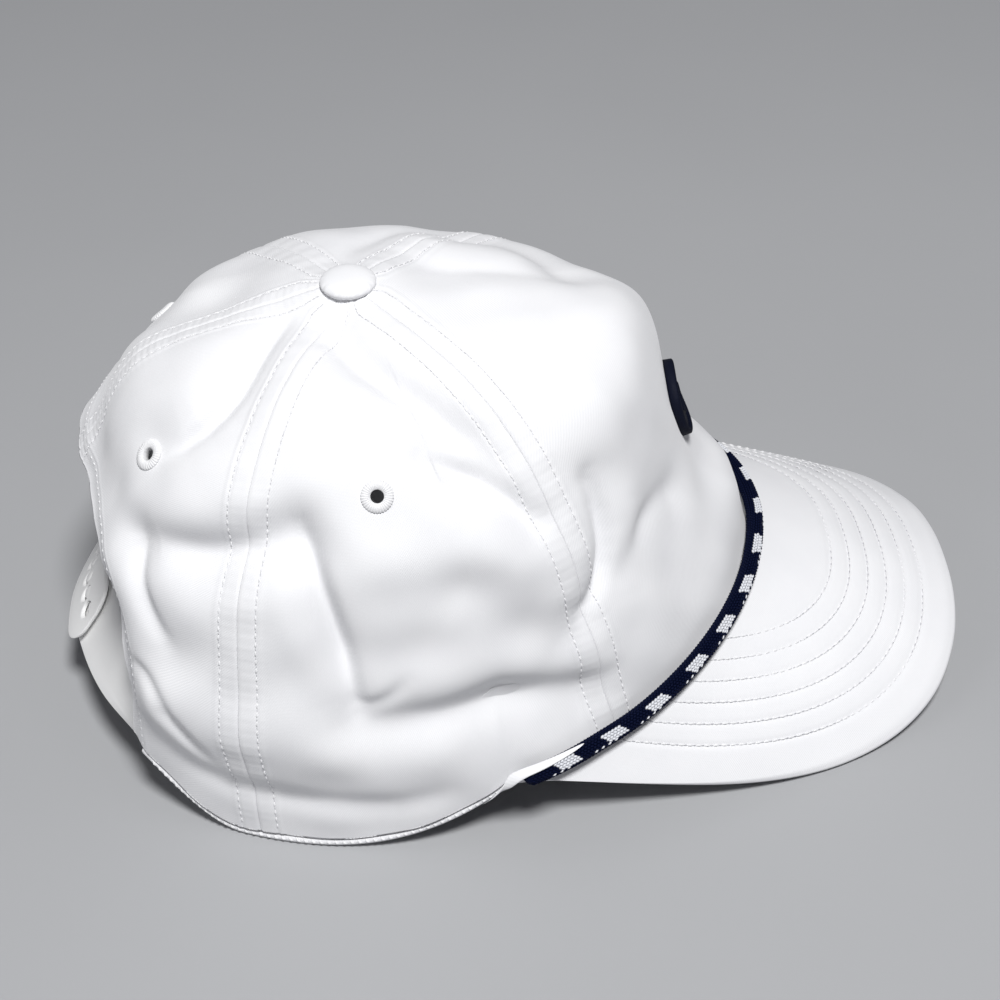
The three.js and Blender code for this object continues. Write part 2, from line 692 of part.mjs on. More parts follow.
add("front_panel", panel(-FRONT_SEAM, FRONT_SEAM, 22), CLOTH);
add("side_panel_right", withHoles(panel(FRONT_SEAM, SIDE_SEAM, 12), holesIn("side_right")), CLOTH);
add("side_panel_left", withHoles(panel(-SIDE_SEAM, -FRONT_SEAM, 12), holesIn("side_left")), CLOTH);
add("rear_panel_right", withHoles(rearPanel(1), holesIn("rear_right")), CLOTH);
add("rear_panel_left", withHoles(rearPanel(-1), holesIn("rear_left")), CLOTH);
add("sweatband", sweatband(), CLOTH);
add("peak", peak(), CLOTH);
add("rope", joined(rope()), NAVY);
add("badge", badge(), NAVY);
add("strap_outer_tab", outerTab(), PLASTIC);
add("strap_inner_tab", innerTab(), PLASTIC);

const top = add("button", button(), CLOTH);
top.position.set(0, BUTTON_BEHIND_CENTRE, CROWN_HEIGHT + TOP_RISE + GAP);

for (const { name, azimuth, height } of EYELETS) {
  const ring = add(name, eyelet(), CLOTH);
  ring.position.copy(crownPlace(azimuth, height));
  ring.quaternion.setFromUnitVectors(new THREE.Vector3(0, 1, 0), crownNormal(azimuth, height));
}

// The frame's origin is the middle of the whole cap's box, on the table.
cap.updateMatrixWorld(true);
const box = new THREE.Box3().setFromObject(cap, true);
const middle = box.getCenter(new THREE.Vector3());
cap.position.set(-middle.x, -middle.y, -box.min.z);

export default cap;
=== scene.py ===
import math
from contextlib import contextmanager

import bmesh
import bpy
import numpy as np
from mathutils import Matrix, Vector


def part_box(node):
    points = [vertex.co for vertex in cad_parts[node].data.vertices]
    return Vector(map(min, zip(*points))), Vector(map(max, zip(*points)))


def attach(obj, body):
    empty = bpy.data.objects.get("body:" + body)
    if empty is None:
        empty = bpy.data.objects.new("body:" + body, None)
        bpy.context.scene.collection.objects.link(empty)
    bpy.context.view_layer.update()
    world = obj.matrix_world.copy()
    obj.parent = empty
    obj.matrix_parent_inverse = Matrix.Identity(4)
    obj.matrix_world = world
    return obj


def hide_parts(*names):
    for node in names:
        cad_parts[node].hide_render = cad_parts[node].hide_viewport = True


# Rope cap. Sizes are in millimetres and angles in degrees, as in the part's source; meshes are made in
# metres. Azimuth runs round the crown: 0 at the front, 90 at the wearer's right (-X), 180 behind.
# Height on the crown runs from 0 at the rim to 1 at the button.
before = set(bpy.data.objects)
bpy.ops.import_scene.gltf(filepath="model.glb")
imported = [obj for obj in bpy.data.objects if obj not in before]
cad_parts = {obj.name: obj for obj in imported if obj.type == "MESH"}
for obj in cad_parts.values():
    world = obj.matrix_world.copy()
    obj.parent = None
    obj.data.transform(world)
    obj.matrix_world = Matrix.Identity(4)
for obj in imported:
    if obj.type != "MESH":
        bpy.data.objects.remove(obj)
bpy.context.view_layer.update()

# Rim
RIM_HALF_LENGTH = 100
RIM_HALF_WIDTH = 84
RIM_REAR_WIDENING = 0.045
SIDE_REST_AZIMUTH = 108
RIM_FALL_POWER = 2.3
REAR_RISE = 18
REAR_RISE_FROM = 118
REAR_RISE_TO = 141

# Crown. Fullness and lean have a value each for the front, the sides and the back.
CROWN_HEIGHT = 123
TOP_RISE = 1.8
TOP_RISE_RADIUS = 16
BUTTON_BEHIND_CENTRE = 8.5
FULLNESS = (4.6, 2.9, 2.25)
LEAN_IN = (0.26, 0.1, 0.01)
WALL = 1.5
GAP = 0.3
FRONT_SEAM = 57
SIDE_SEAM = 115
SEAMS = (-SIDE_SEAM, -FRONT_SEAM, FRONT_SEAM, SIDE_SEAM, 180)
PANEL_TOP = 0.97
MERIDIAN = 190  # length along the crown for one unit of height, near the rim
HIGHEST_NORMAL = 0.985  # above this height the crown's direction is taken from here

# Opening at the back
ARCH_HALF_ANGLE = 40
ARCH_TOP = 0.37
ARCH_POWER = 3

# Sweatband
BAND_LIP = 2.5
BAND_HEIGHT = 32
BAND_THICKNESS = 1.2
BAND_GAP = 1.4
BAND_END = 137

# Peak
PEAK_BEND_RADIUS = 98
PEAK_SLOPE = 19.5
PEAK_LIFT = 37.9
PEAK_LENGTH = 65
PEAK_CORNER = 75
PEAK_HALF_WIDTH = 90
PEAK_CORNER_DEPTH = 2
PEAK_OUTLINE_POWER = 2.8
PEAK_THICKNESS = 3
PEAK_THINNING = 0.65

# Cord, button, eyelets, badge and strap
ROPE_RADIUS = 2.5
ROPE_END = 74
BUTTON_RADIUS = 7.4
BUTTON_HEIGHT = 2.6
EYELET_HOLE = 1.7
EYELET_RADIUS = 4.1
EYELET_NECK = 2.5
EYELET_HOLD = 10
EYELETS = (
    ("eyelet_side_right", 88, 0.52),
    ("eyelet_side_left", -88, 0.52),
    ("eyelet_rear_right", 146, 0.53),
    ("eyelet_rear_left", -146, 0.53),
)
BADGE_HEIGHT = 0.305
BADGE_HALF = 11
BADGE_POWER = 2.3
BADGE_OUT = 2.8
STRAP_HEIGHT = 19
STRAP_THICKNESS = 1.3
STRAP_ROOT = 138.2
STRAP_OUTER_END = 193
STRAP_FLARE = 1.6
STRAP_FLARE_FROM = 179
STRAP_INNER_END = 208
STRAP_OUTER_OUT = STRAP_THICKNESS + 0.6
HOLE_STEP = 5
HOLE_COUNT = 8
PEG_COUNT = 5
HOLE_RADIUS = 2.5
PEG_RADIUS = 2.1
PEG_SHOWS = -0.15  # the pegs end just below the outer tab's face
TAB_TOUCH = 0.45  # the outer tab lies closer to the inner one than its solid does
STRAP_RISE = 0.5  # the strap's lower edge lies this much above the rim's lowest line
STRAP_MIDDLE = STRAP_RISE + STRAP_HEIGHT / 2

# The strap's way: azimuth, inset at its lower edge, further lean of its upper edge
STRAP_PATH = (
    (130, 2.4, 0),
    (140, 2.6, 0.8),
    (150, 4.2, 8),
    (165, 5.2, 13),
    (180, 4.4, 13),
    (195, 5.2, 13),
)

# Main folds: three places (azimuth, height in hundredths), width, depth. A positive depth sinks in.
FOLDS = (
    (-14, 44, 6, 48, 34, 48, 14, -5),
    (-54, 62, -38, 56, -24, 54, 11, 4),
    (-28, 23, 0, 24, 28, 23, 22, 4.8),
    (-52, 80, -24, 77, -14, 56, 8, 1.3),
    (-48, 11, -26, 10.5, 2, 9.8, 9, -3.2),
    (109, 89, 81, 72, 65, 52, 8, 3.2),
    (76, 55, 68, 48.5, 61, 40, 8, 2.6),
    (46.5, 40, 49.5, 31, 57, 24, 8, 2.4),
    (26, 26, 35, 27, 45, 24, 8, 1.8),
    (106, 49, 101.5, 35, 98, 21, 8, 2.2),
    (93, 18.5, 79, 15, 62, 8.5, 9.5, 4.6),
    (76, 35, 70, 29, 63, 21, 9, 2.4),
    (97, 45, 81, 42, 66, 37, 9, -1.8),
    (94, 31, 82, 28, 70, 24, 9, 1.4),
    (137, 39, 120, 43, 103, 46.5, 8.5, 4),
    (150, 86, 131, 69, 142, 54, 9, 2.8),
    (139, 39, 135, 31, 128, 25, 8, 2.2),
    (86, 15, 106, 18, 128, 18, 12, -3.8),
    (143, 7, 139, 14, 144, 24, 9, 3.5),
    (154, 44, 180, 44, 206, 44, 17, 6.5),
    (148, 24, 155, 34, 168, 38, 11, 3),
    (194, 34, 200, 28, 207, 20, 9, -2.5),
    (202, 74, 214, 74, 226, 70, 16, 4.5),
    (206, 58, 214, 54, 222, 50, 12, 3),
    (-106, 50, -100, 38, -94, 22, 8, 3),
    (-100, 86, -82, 75, -66, 58, 10, 1.5),
    (-88, 15, -106, 17, -126, 17, 13, -2.5),
)

# Finer creases and ridges of the cloth, in the same form
CREASES = (
    (104, 48.5, 98.8, 35, 96.5, 22, 3, 4.5),
    (97, 23, 93, 23, 88, 25.5, 2.4, 1.1),
    (109, 45, 105, 35, 101, 24, 5, -1.2),
    (134, 41, 119, 44.5, 105, 48.5, 4.5, 2.2),
    (139.5, 39, 135.5, 32, 129, 27, 3, 2.2),
    (95, 20, 79, 16.5, 58, 10, 5.6, 3.1),
    (150, 87, 132, 69.5, 142, 53, 2.8, 2.9),
    (109, 90, 80, 73, 65, 54, 3.6, 3.1),
    (77, 55.5, 67.5, 49, 60, 40, 3.2, 3.3),
    (46.5, 41.5, 49, 30, 57.5, 23, 2.8, 3.6),
    (51, 38, 53.5, 32, 57, 28, 5, -1),
    (47, 24.5, 36, 28, 23, 26, 4, 1.2),
    (40, 34, 42, 29, 48, 21, 5, -1),
    (137, 18, 132, 19, 127, 17, 2.4, 1.5),
    (130, 16.5, 126, 15.5, 121.5, 12.5, 2.4, 1.6),
    (134, 8, 112, 8, 84, 4, 4.5, 1.9),
    (-50, 82, -22, 77, -12, 58, 3, 0.4),
    (-106, 50, -101, 38, -96, 22, 2.6, 1.8),
    (-140, 40, -134, 30, -124, 24, 3, 1.6),
    (-60, 40, -50, 31, -54, 23, 3, 1.4),
    (-97, 88, -80, 74, -66, 57, 3.8, 1.1),
)

CREASE_END = 0.25  # share of a crease's depth at its ends
UNEVENNESS = 0.28
WAVES = 14
WAVE_LENGTHS = (11, 34)

# Sewing
SEAM_GAP = 0.06
SEAM_SINK = 0.28
SEAM_SINK_WIDTH = 0.55
STITCH_OFFSET = 5  # stitch rows on each side of a seam
ALLOWANCE_RISE = 0.28  # the cloth is double up to the stitches
PUCKER_RISE = 0.16
PUCKER_LENGTHS = (7.3, 4.1)
STITCH_DIP = 0.25
STITCH_DIP_WIDTH = 0.6
STITCH_PITCH = 2.5
STITCH_LENGTH = 1.9
STITCH_RADIUS = 0.22
STITCH_ARCH = 0.18
RIM_STITCH_STEP = 2.1
RIM_STITCH_RUN = 1.7
RIM_STITCH_RADIUS = 0.34
OPENING_STITCH_SINK = 0.22
HEM_OFFSET = 6
HEM_RISE = 0.3
HEM_ROLL = 1.8  # the opening's edge turns in by this much
PEAK_ROWS = 6
PEAK_FIRST_ROW = 10
PEAK_ROW_STEP = 5.7
PEAK_ROW_CLEAR = 2.5  # rows end this far in front of the seam
PEAK_ROW_POINTS = 1.5  # from point to point of a row
PEAK_ROW_DIP = 0.32
PEAK_STITCH_SINK = 0.22

MM = 0.001
button_low, button_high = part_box("button")
SHIFT = np.array(
    [
        0,
        (button_low.y + button_high.y) / 2 / MM - BUTTON_BEHIND_CENTRE,
        button_low.z / MM - CROWN_HEIGHT - TOP_RISE - GAP,
    ]
)


# Small helpers


def smooth01(value):
    """Eases from 0 to 1 while the value does."""
    t = np.clip(value, 0, 1)
    return t * t * (3 - 2 * t)


def bell(distance, width):
    """A smooth bump: 1 at no distance, and almost 0 beyond twice the width."""
    return np.exp(-((distance / width) ** 2))


def lengths(vectors):
    return np.linalg.norm(vectors, axis=-1)


def unit(vectors):
    return vectors / np.maximum(lengths(vectors), 1e-12)[..., None]


def grids(*values):
    """Values as arrays of one shape."""
    return np.broadcast_arrays(*(np.asarray(value, float) for value in values))


def full_turn(count):
    """Angles round a whole turn, whose last one comes just before the first."""
    return np.linspace(0, 2 * math.pi, count, endpoint=False)


def ovals(first, second, count):
    """Rings of points about the origin, one for each pair of half axes."""
    turn = full_turn(count)[:, None]
    return first[:, None] * np.cos(turn) + second[:, None] * np.sin(turn)


def normal_on(surface, across, up, across_step, up_step):
    """The direction out of a surface, from its slopes over small steps."""
    along = surface(across + across_step, up) - surface(across - across_step, up)
    upward = surface(across, up + up_step) - surface(across, up - up_step)
    return unit(np.cross(upward, along))


def length_along(points):
    """Length from the first point to each point of a line."""
    steps = lengths(np.diff(points, axis=0))
    return np.concatenate([[0], np.cumsum(steps)])


def read_line(points, run, where):
    """The points of a line at other lengths along it."""
    return np.stack([np.interp(where, run, points[:, k]) for k in range(3)], -1)


def share_between(places, start, end):
    """How far each place lies from start to end, 0 to 1, as seen from the side."""
    along = end - start
    return np.clip(((places - start) @ along) / (along @ along), 0, 1)


def distance_to_line(places, line):
    """Distance of each place to a line of points."""
    best = np.full(places.shape[:-1], np.inf)
    for start, end in zip(line[:-1], line[1:]):
        nearest = start + share_between(places, start, end)[..., None] * (end - start)
        best = np.minimum(best, lengths(places - nearest))
    return best


def turned(azimuth):
    """How far an azimuth lies from the front, 0 to 180."""
    return np.abs((azimuth + 180) % 360 - 180)


# The cap's surfaces, as in the part's source


def rim_plan(azimuth):
    """The rim seen from above, as x and y."""
    angle = np.radians(azimuth)
    widening = 1 - RIM_REAR_WIDENING * np.cos(angle)
    return -RIM_HALF_WIDTH * widening * np.sin(angle), -RIM_HALF_LENGTH * np.cos(angle)


slope = math.radians(PEAK_SLOPE)
sheet_up = np.array([0, -math.sin(slope), math.cos(slope)])
sheet_forward = np.array([0, -math.cos(slope), -math.sin(slope)])
sheet_axis = np.array([0, -RIM_HALF_LENGTH, PEAK_LIFT]) - PEAK_BEND_RADIUS * sheet_up


def sheet_normal(across):
    """The direction out of the peak's upper face, which bends to the sides alone."""
    angle = np.asarray(across)[..., None] / PEAK_BEND_RADIUS
    return np.cos(angle) * sheet_up + np.sin(angle) * (1, 0, 0)


def sheet_place(across, forward, below=0.0):
    """A place on the peak's bent sheet, from its flat width and length."""
    across, forward, below = grids(across, forward, below)
    bent = (PEAK_BEND_RADIUS - below)[..., None] * sheet_normal(across)
    return sheet_axis + bent + forward[..., None] * sheet_forward


def flat_place(x, y, below=0.0):
    """The flat place of the peak's sheet that lies over x and y."""
    radius = PEAK_BEND_RADIUS - below
    angle = np.arcsin(x / radius)
    drop = PEAK_BEND_RADIUS - radius * np.cos(angle)
    forward = (-RIM_HALF_LENGTH - y + drop * math.sin(slope)) / math.cos(slope)
    return PEAK_BEND_RADIUS * angle, forward


def rim_height(azimuth):
    """Height of the rim's lowest line above the table."""
    away = turned(azimuth)
    on_peak = sheet_place(*flat_place(*rim_plan(np.minimum(away, PEAK_CORNER))))[..., 2] - PEAK_THICKNESS
    t = np.clip((away - PEAK_CORNER) / (SIDE_REST_AZIMUTH - PEAK_CORNER), 0, 1)
    rise = smooth01((away - REAR_RISE_FROM) / (REAR_RISE_TO - REAR_RISE_FROM))
    return on_peak * (1 - t) ** RIM_FALL_POWER + REAR_RISE * rise


def blended(values, cosine):
    """A value between those of the front, the side and the back."""
    front, side, back = values
    end = np.where(cosine > 0, front, back)
    return side + (end - side) * cosine * cosine


def smooth_face(azimuth, height):
    """A place on the crown without its folds."""
    azimuth, height = grids(azimuth, height)
    x, y = rim_plan(azimuth)
    foot = rim_height(azimuth) + BAND_LIP
    cosine = np.cos(np.radians(azimuth))
    power = blended(FULLNESS, cosine)
    angle = height * math.pi / 2
    c = np.maximum(np.cos(angle), 0)
    s = np.maximum(np.sin(angle), 0)
    size = (c**power + s**power) ** (1 / power)
    rise = s / size
    reach = (c / size) * (1 - blended(LEAN_IN, cosine) * rise)
    heap = TOP_RISE * bell(np.hypot(x, y) * reach, TOP_RISE_RADIUS)
    z = foot * (1 - rise) + CROWN_HEIGHT * rise + heap
    return np.stack([x * reach, y * reach + BUTTON_BEHIND_CENTRE * rise, z], -1)


def smooth_normal(azimuth, height):
    return normal_on(smooth_face, azimuth, np.minimum(height, HIGHEST_NORMAL), 0.2, 0.002)


def fold_line(fold):
    """Nine places of the smooth face along a parabola through the fold's three places."""
    t = np.linspace(0, 1, 9)
    parts = ((1 - t) * (1 - 2 * t), 4 * t * (1 - t), t * (2 * t - 1))
    azimuth = sum(part * fold[2 * i] for i, part in enumerate(parts))
    height = sum(part * fold[2 * i + 1] for i, part in enumerate(parts))
    return smooth_face(azimuth, height / 100)


def fold_sum(places, folds, end_share=1.0):
    """How far a table of folds sinks the cloth; end_share of each depth is left at its ends."""
    depth = np.zeros(places.shape[:-1])
    for fold in folds:
        line = fold_line(fold)
        share = share_between(places, line[0], line[-1])
        kept = end_share + (1 - end_share) * np.sin(math.pi * share) ** 0.8
        depth += fold[7] * kept * bell(distance_to_line(places, line), fold[6])
    return depth


eyelet_places = [smooth_face(azimuth, height) for name, azimuth, height in EYELETS]
eyelet_depths = [float(fold_sum(place, FOLDS)) for place in eyelet_places]


def main_depth(places):
    """The depth of the main folds, with the cloth held flat round each eyelet."""
    loose = fold_sum(places, FOLDS)
    depth = loose.copy()
    for place, held in zip(eyelet_places, eyelet_depths):
        depth += (held - loose) * bell(lengths(places - place), EYELET_HOLD)
    return depth


def crown_place(azimuth, height, depth=0.0):
    """A place on the folded crown as the solid has it."""
    place = smooth_face(azimuth, height)
    sunk = main_depth(place) + depth
    return place - sunk[..., None] * smooth_normal(azimuth, height)


def crown_normal(azimuth, height):
    return normal_on(crown_place, azimuth, height, 1, 0.01)


def rim_place(azimuth, depth, rise):
    """A place near the rim by its rise above the rim's lowest line, also below the panels' edge."""
    azimuth, depth, rise = grids(azimuth, depth, rise)
    place = crown_place(azimuth, np.maximum(rise - BAND_LIP, 0) / MERIDIAN, depth)
    place[..., 2] -= np.maximum(BAND_LIP - rise, 0)
    return place


# The cloth's finer relief


def undulation(places):
    """Soft unevenness of the cloth, between about -1 and 1, from waves in fixed random directions."""
    chance = np.random.default_rng(7)
    total = np.zeros(places.shape[:-1])
    for _ in range(WAVES):
        direction = unit(chance.normal(size=3))
        wavelength = chance.uniform(*WAVE_LENGTHS)
        total += np.sin(places @ direction * 2 * math.pi / wavelength + chance.uniform(0, 2 * math.pi))
    return total / math.sqrt(WAVES)


def degree_length(azimuth, height):
    """Length of one degree of azimuth round the crown."""
    return lengths(smooth_face(azimuth + 0.5, height) - smooth_face(azimuth - 0.5, height))


def stitch_offset(height):
    """Distance of the stitch rows from their seam; they draw together towards the button."""
    side_panel = (SIDE_SEAM - FRONT_SEAM) * degree_length((SIDE_SEAM + FRONT_SEAM) / 2, height)
    return np.minimum(STITCH_OFFSET, 0.38 * side_panel)


def arch_edge(count):
    """The edge of the right half of the opening as azimuth and height, from its foot to its top."""
    angle = np.linspace(0, math.pi / 2, 400)
    power = 2 / ARCH_POWER
    azimuth = 180 - ARCH_HALF_ANGLE * np.maximum(0, np.cos(angle)) ** power
    height = ARCH_TOP * np.sin(angle) ** power
    run = length_along(smooth_face(azimuth, height))
    at = np.linspace(0, run[-1], count)
    return np.interp(at, run, azimuth), np.interp(at, run, height)


arch_azimuth, arch_height = arch_edge(60)
ARCH_LINES = [smooth_face(hand * arch_azimuth, arch_height) for hand in (1, -1)]


def seam_relief(azimuth, height, places):
    """How far the sewing lifts or sinks the cloth: seams, doubled cloth beside them, and the hems."""
    relief = np.zeros(places.shape[:-1])
    offset = stitch_offset(height)
    unit_length = degree_length(azimuth, height)
    run = height * MERIDIAN
    for number, seam in enumerate(SEAMS):
        away = turned(azimuth - seam) * unit_length
        if seam == 180:
            away = np.where(height < ARCH_TOP * 0.98, 99, away)
        relief -= SEAM_SINK * bell(away, SEAM_SINK_WIDTH)
        relief += ALLOWANCE_RISE * (1 - smooth01((away - offset - 0.5) / 1.5))
        relief -= STITCH_DIP * bell(away - offset, STITCH_DIP_WIDTH)
        long_wave, short_wave = (run * 2 * math.pi / length for length in PUCKER_LENGTHS)
        pucker = PUCKER_RISE * np.sin(long_wave + number) * np.sin(short_wave + 2 * number)
        relief += pucker * smooth01(run / 14) * bell(away - 0.6 * offset, 0.7 * STITCH_OFFSET)
    near_arch = (turned(azimuth) > 180 - ARCH_HALF_ANGLE - 12) & (height < ARCH_TOP + 0.12)
    if near_arch.any():
        away = np.full(places.shape[:-1], 99.0)
        away[near_arch] = np.minimum(*(distance_to_line(places[near_arch], line) for line in ARCH_LINES))
        relief += HEM_RISE * (1 - smooth01((away - HEM_OFFSET - 0.5) / 1.2))
        relief -= HEM_ROLL * (1 - smooth01(away / (HEM_OFFSET + 2)))
        relief -= STITCH_DIP * bell(away - HEM_OFFSET, STITCH_DIP_WIDTH)
    return relief


def cloth_place(azimuth, height, depth=0.0):
    """A place on the finished cloth of the crown."""
    azimuth, height = grids(azimuth, height)
    place = smooth_face(azimuth, height)
    loose = fold_sum(place, CREASES, CREASE_END) + UNEVENNESS * undulation(place)
    for at in eyelet_places:
        loose = loose * (1 - bell(lengths(place - at), EYELET_HOLD))
    sunk = main_depth(place) + loose - seam_relief(azimuth, height, place) + depth
    return place - sunk[..., None] * smooth_normal(azimuth, height)


def cloth_normal(azimuth, height):
    return normal_on(cloth_place, azimuth, height, 0.4, 0.004)


# Meshes


def linked(name, data):
    """A new object in the scene."""
    made = bpy.data.objects.new(name, data)
    bpy.context.scene.collection.objects.link(made)
    return made


def finished(name, mesh, material):
    """The object of a mesh, smooth and with its material."""
    mesh.materials.append(material)
    mesh.polygons.foreach_set("use_smooth", np.ones(len(mesh.polygons), bool))
    mesh.update()
    return linked(name, mesh)


def add_mesh(name, points, faces, material, weave=None):
    """A smooth mesh from points in millimetres; weave gives each point's place on the flat cloth."""
    points = np.reshape(points, (-1, 3))
    mesh = bpy.data.meshes.new(name)
    mesh.from_pydata(((points + SHIFT) * MM).tolist(), [], np.asarray(faces).tolist())
    if weave is not None:
        layer = mesh.attributes.new("weave", "FLOAT_VECTOR", "POINT")
        flat = np.zeros((len(points), 3), np.float32)
        flat[:, :2] = np.reshape(weave, (-1, 2))
        layer.data.foreach_set("vector", flat.ravel())
    return finished(name, mesh, material)


@contextmanager
def edited(data):
    """A mesh opened for edits, which are written back at the end."""
    mesh = bmesh.new()
    mesh.from_mesh(data)
    yield mesh
    mesh.to_mesh(data)
    mesh.free()


def face_out(piece):
    """Turns a closed mesh's faces outwards."""
    with edited(piece.data) as mesh:
        bmesh.ops.recalc_face_normals(mesh, faces=mesh.faces)
    return piece


def fill_ends(piece):
    """Closes a mesh's open ends."""
    with edited(piece.data) as mesh:
        bmesh.ops.holes_fill(mesh, edges=[e for e in mesh.edges if e.is_boundary])
    return face_out(piece)


def place_piece(piece, slot, *nodes):
    """Hands a piece to the part, in place of the nodes that it stands for."""
    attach(piece, "root")
    if nodes:
        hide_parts(*nodes)
    return piece


def grid_quads(rows, columns, wrap=False):
    """Faces over rows x columns points, closed round the columns where wrap is set."""
    j, i = np.meshgrid(np.arange(rows - 1), np.arange(columns if wrap else columns - 1), indexing="ij")
    right = (i + 1) % columns
    corners = (j * columns + i, j * columns + right, (j + 1) * columns + right, (j + 1) * columns + i)
    return np.stack([c.ravel() for c in corners], -1)


def tube_mesh(name, points, material, weave=None):
    """A closed tube through rings of points."""
    faces = grid_quads(*points.shape[:2], wrap=True)
    return fill_ends(add_mesh(name, points, faces, material, weave))


EDGE_TURNS = np.radians([30, 60, 90, 120, 150])


def open_edges(quads):
    """The edges that belong to one face alone, each in its face's order."""
    edges = np.concatenate([quads[:, [k, (k + 1) % 4]] for k in range(4)])
    found = np.unique(np.sort(edges, axis=1), axis=0, return_index=True, return_counts=True)
    return edges[found[1][found[2] == 1]]


def cloth_wall(name, outer, inner, weave, material, keep=None):
    """A closed wall between two grids of points. Its first row's edge is round; keep leaves cells out."""
    rows, columns = outer.shape[:2]
    count = rows * columns
    quads = grid_quads(rows, columns)
    if keep is not None:
        quads = quads[keep.ravel()]
    sides = open_edges(quads)
    a, b = sides[sides.max(axis=1) >= columns].T
    faces = [quads, quads[:, ::-1] + count, np.stack([b, a, a + count, b + count], -1)]
    middle = (outer[0] + inner[0]) / 2
    down = unit(outer[0] - outer[1]) * lengths(outer[0] - inner[0])[:, None] / 2
    turns = [middle + (outer[0] - middle) * math.cos(a) + down * math.sin(a) for a in EDGE_TURNS]
    points = np.concatenate([outer.reshape(-1, 3), inner.reshape(-1, 3), *turns])
    across = np.arange(columns)
    ring = [across, *(2 * count + k * columns + across for k in range(len(turns))), across + count]
    faces += [np.stack([a[:-1], b[:-1], b[1:], a[1:]], -1) for a, b in zip(ring, ring[1:])]
    weaves = [np.reshape(weave, (-1, 2))] * 2 + [weave[0]] * len(turns)
    piece = add_mesh(name, points, np.concatenate(faces), material, np.concatenate(weaves))
    with edited(piece.data) as mesh:
        mesh.verts.ensure_lookup_table()
        for end in (0, -1):
            mesh.faces.new([mesh.verts[int(line[end])] for line in ring])
    return face_out(piece)


# Materials


def new_material(name):
    material = bpy.data.materials.new(name)
    material.use_nodes = True
    tree = material.node_tree
    return material, tree, tree.nodes["Principled BSDF"]


def connect(tree, target, values):
    """Sets a node's inputs: a socket is linked, anything else is a value."""
    for name, value in values.items():
        if isinstance(value, bpy.types.NodeSocket):
            tree.links.new(value, target.inputs[name])
        else:
            target.inputs[name].default_value = value


def node(tree, kind, values, **settings):
    """A new node's outputs."""
    made = tree.nodes.new("ShaderNode" + kind)
    for key, value in settings.items():
        setattr(made, key, value)
    connect(tree, made, values)
    return made.outputs


def scaled(tree, value, factor, plus=0.0):
    return node(tree, "Math", {0: value, 1: factor, 2: plus}, operation="MULTIPLY_ADD")[0]


def wave(tree, value, length):
    return node(tree, "Math", {0: scaled(tree, value, 2 * math.pi / length)}, operation="SINE")[0]


def mixed(tree, factor, first, second):
    return node(tree, "Mix", {0: factor, 6: first, 7: second}, data_type="RGBA")[2]


def noise(tree, place, scale, detail, roughness=0.5):
    values = {"Vector": place, "Scale": scale, "Detail": detail, "Roughness": roughness}
    return node(tree, "TexNoise", values)["Fac"]


def bump(tree, height, distance, strength):
    values = {"Height": height, "Distance": distance * MM, "Strength": strength}
    return node(tree, "Bump", values)["Normal"]


WALE_PITCH = 0.5
WEFT_PITCH = 0.35


def twill_material(name, colour, shade, depth):
    """Cotton twill: diagonal wales broken by the weft, uneven yarns, and faint mottling."""
    material, tree, shader = new_material(name)
    place = node(tree, "Attribute", {}, attribute_name="weave")["Vector"]
    split = node(tree, "SeparateXYZ", {0: place})
    diagonal = scaled(tree, split[0], 1.0, split[1])
    bent = scaled(tree, noise(tree, place, 0.35, 3), 0.5, diagonal)
    wale = wave(tree, bent, WALE_PITCH * math.sqrt(2))
    woven = scaled(tree, wave(tree, split[1], WEFT_PITCH), 0.35, wale)
    slub = noise(tree, place, 1.6, 4, 0.7)
    mottle = scaled(tree, noise(tree, place, 0.05, 5), 0.8, -0.05)
    values = {
        "Base Color": mixed(tree, scaled(tree, woven, -0.12, mottle), colour, shade),
        "Normal": bump(tree, scaled(tree, slub, 1.4, woven), depth, 0.8),
        "Roughness": scaled(tree, slub, 0.12, 0.8),
        "Sheen Weight": 0.25,
        "Sheen Roughness": 0.5,
        "Specular IOR Level": 0.3,
    }
    connect(tree, shader, values)
    return material


def thread_material(name, colour, shade, sheen=0.2, gloss=0.25):
    """Sewing or braiding yarn: fine uneven fibres."""
    material, tree, shader = new_material(name)
    fibre = noise(tree, node(tree, "TexCoord", {})["Object"], 2600, 3)
    values = {
        "Base Color": mixed(tree, fibre, colour, shade),
        "Normal": bump(tree, fibre, 0.06, 0.6),
        "Roughness": scaled(tree, fibre, 0.3, 0.55),
        "Sheen Weight": sheen,
        "Specular IOR Level": gloss,
    }
    connect(tree, shader, values)
    return material


def plastic_material(name, colour, shade):
    """Moulded strap plastic: nearly smooth, with a faint flow and fine pitting."""
    material, tree, shader = new_material(name)
    place = node(tree, "TexCoord", {})["Object"]
    flow = noise(tree, place, 60, 4)
    values = {
        "Base Color": mixed(tree, flow, colour, shade),
        "Normal": bump(tree, noise(tree, place, 1500, 2), 0.03, 0.5),
        "Roughness": scaled(tree, flow, 0.25, 0.3),
    }
    connect(tree, shader, values)
    return material


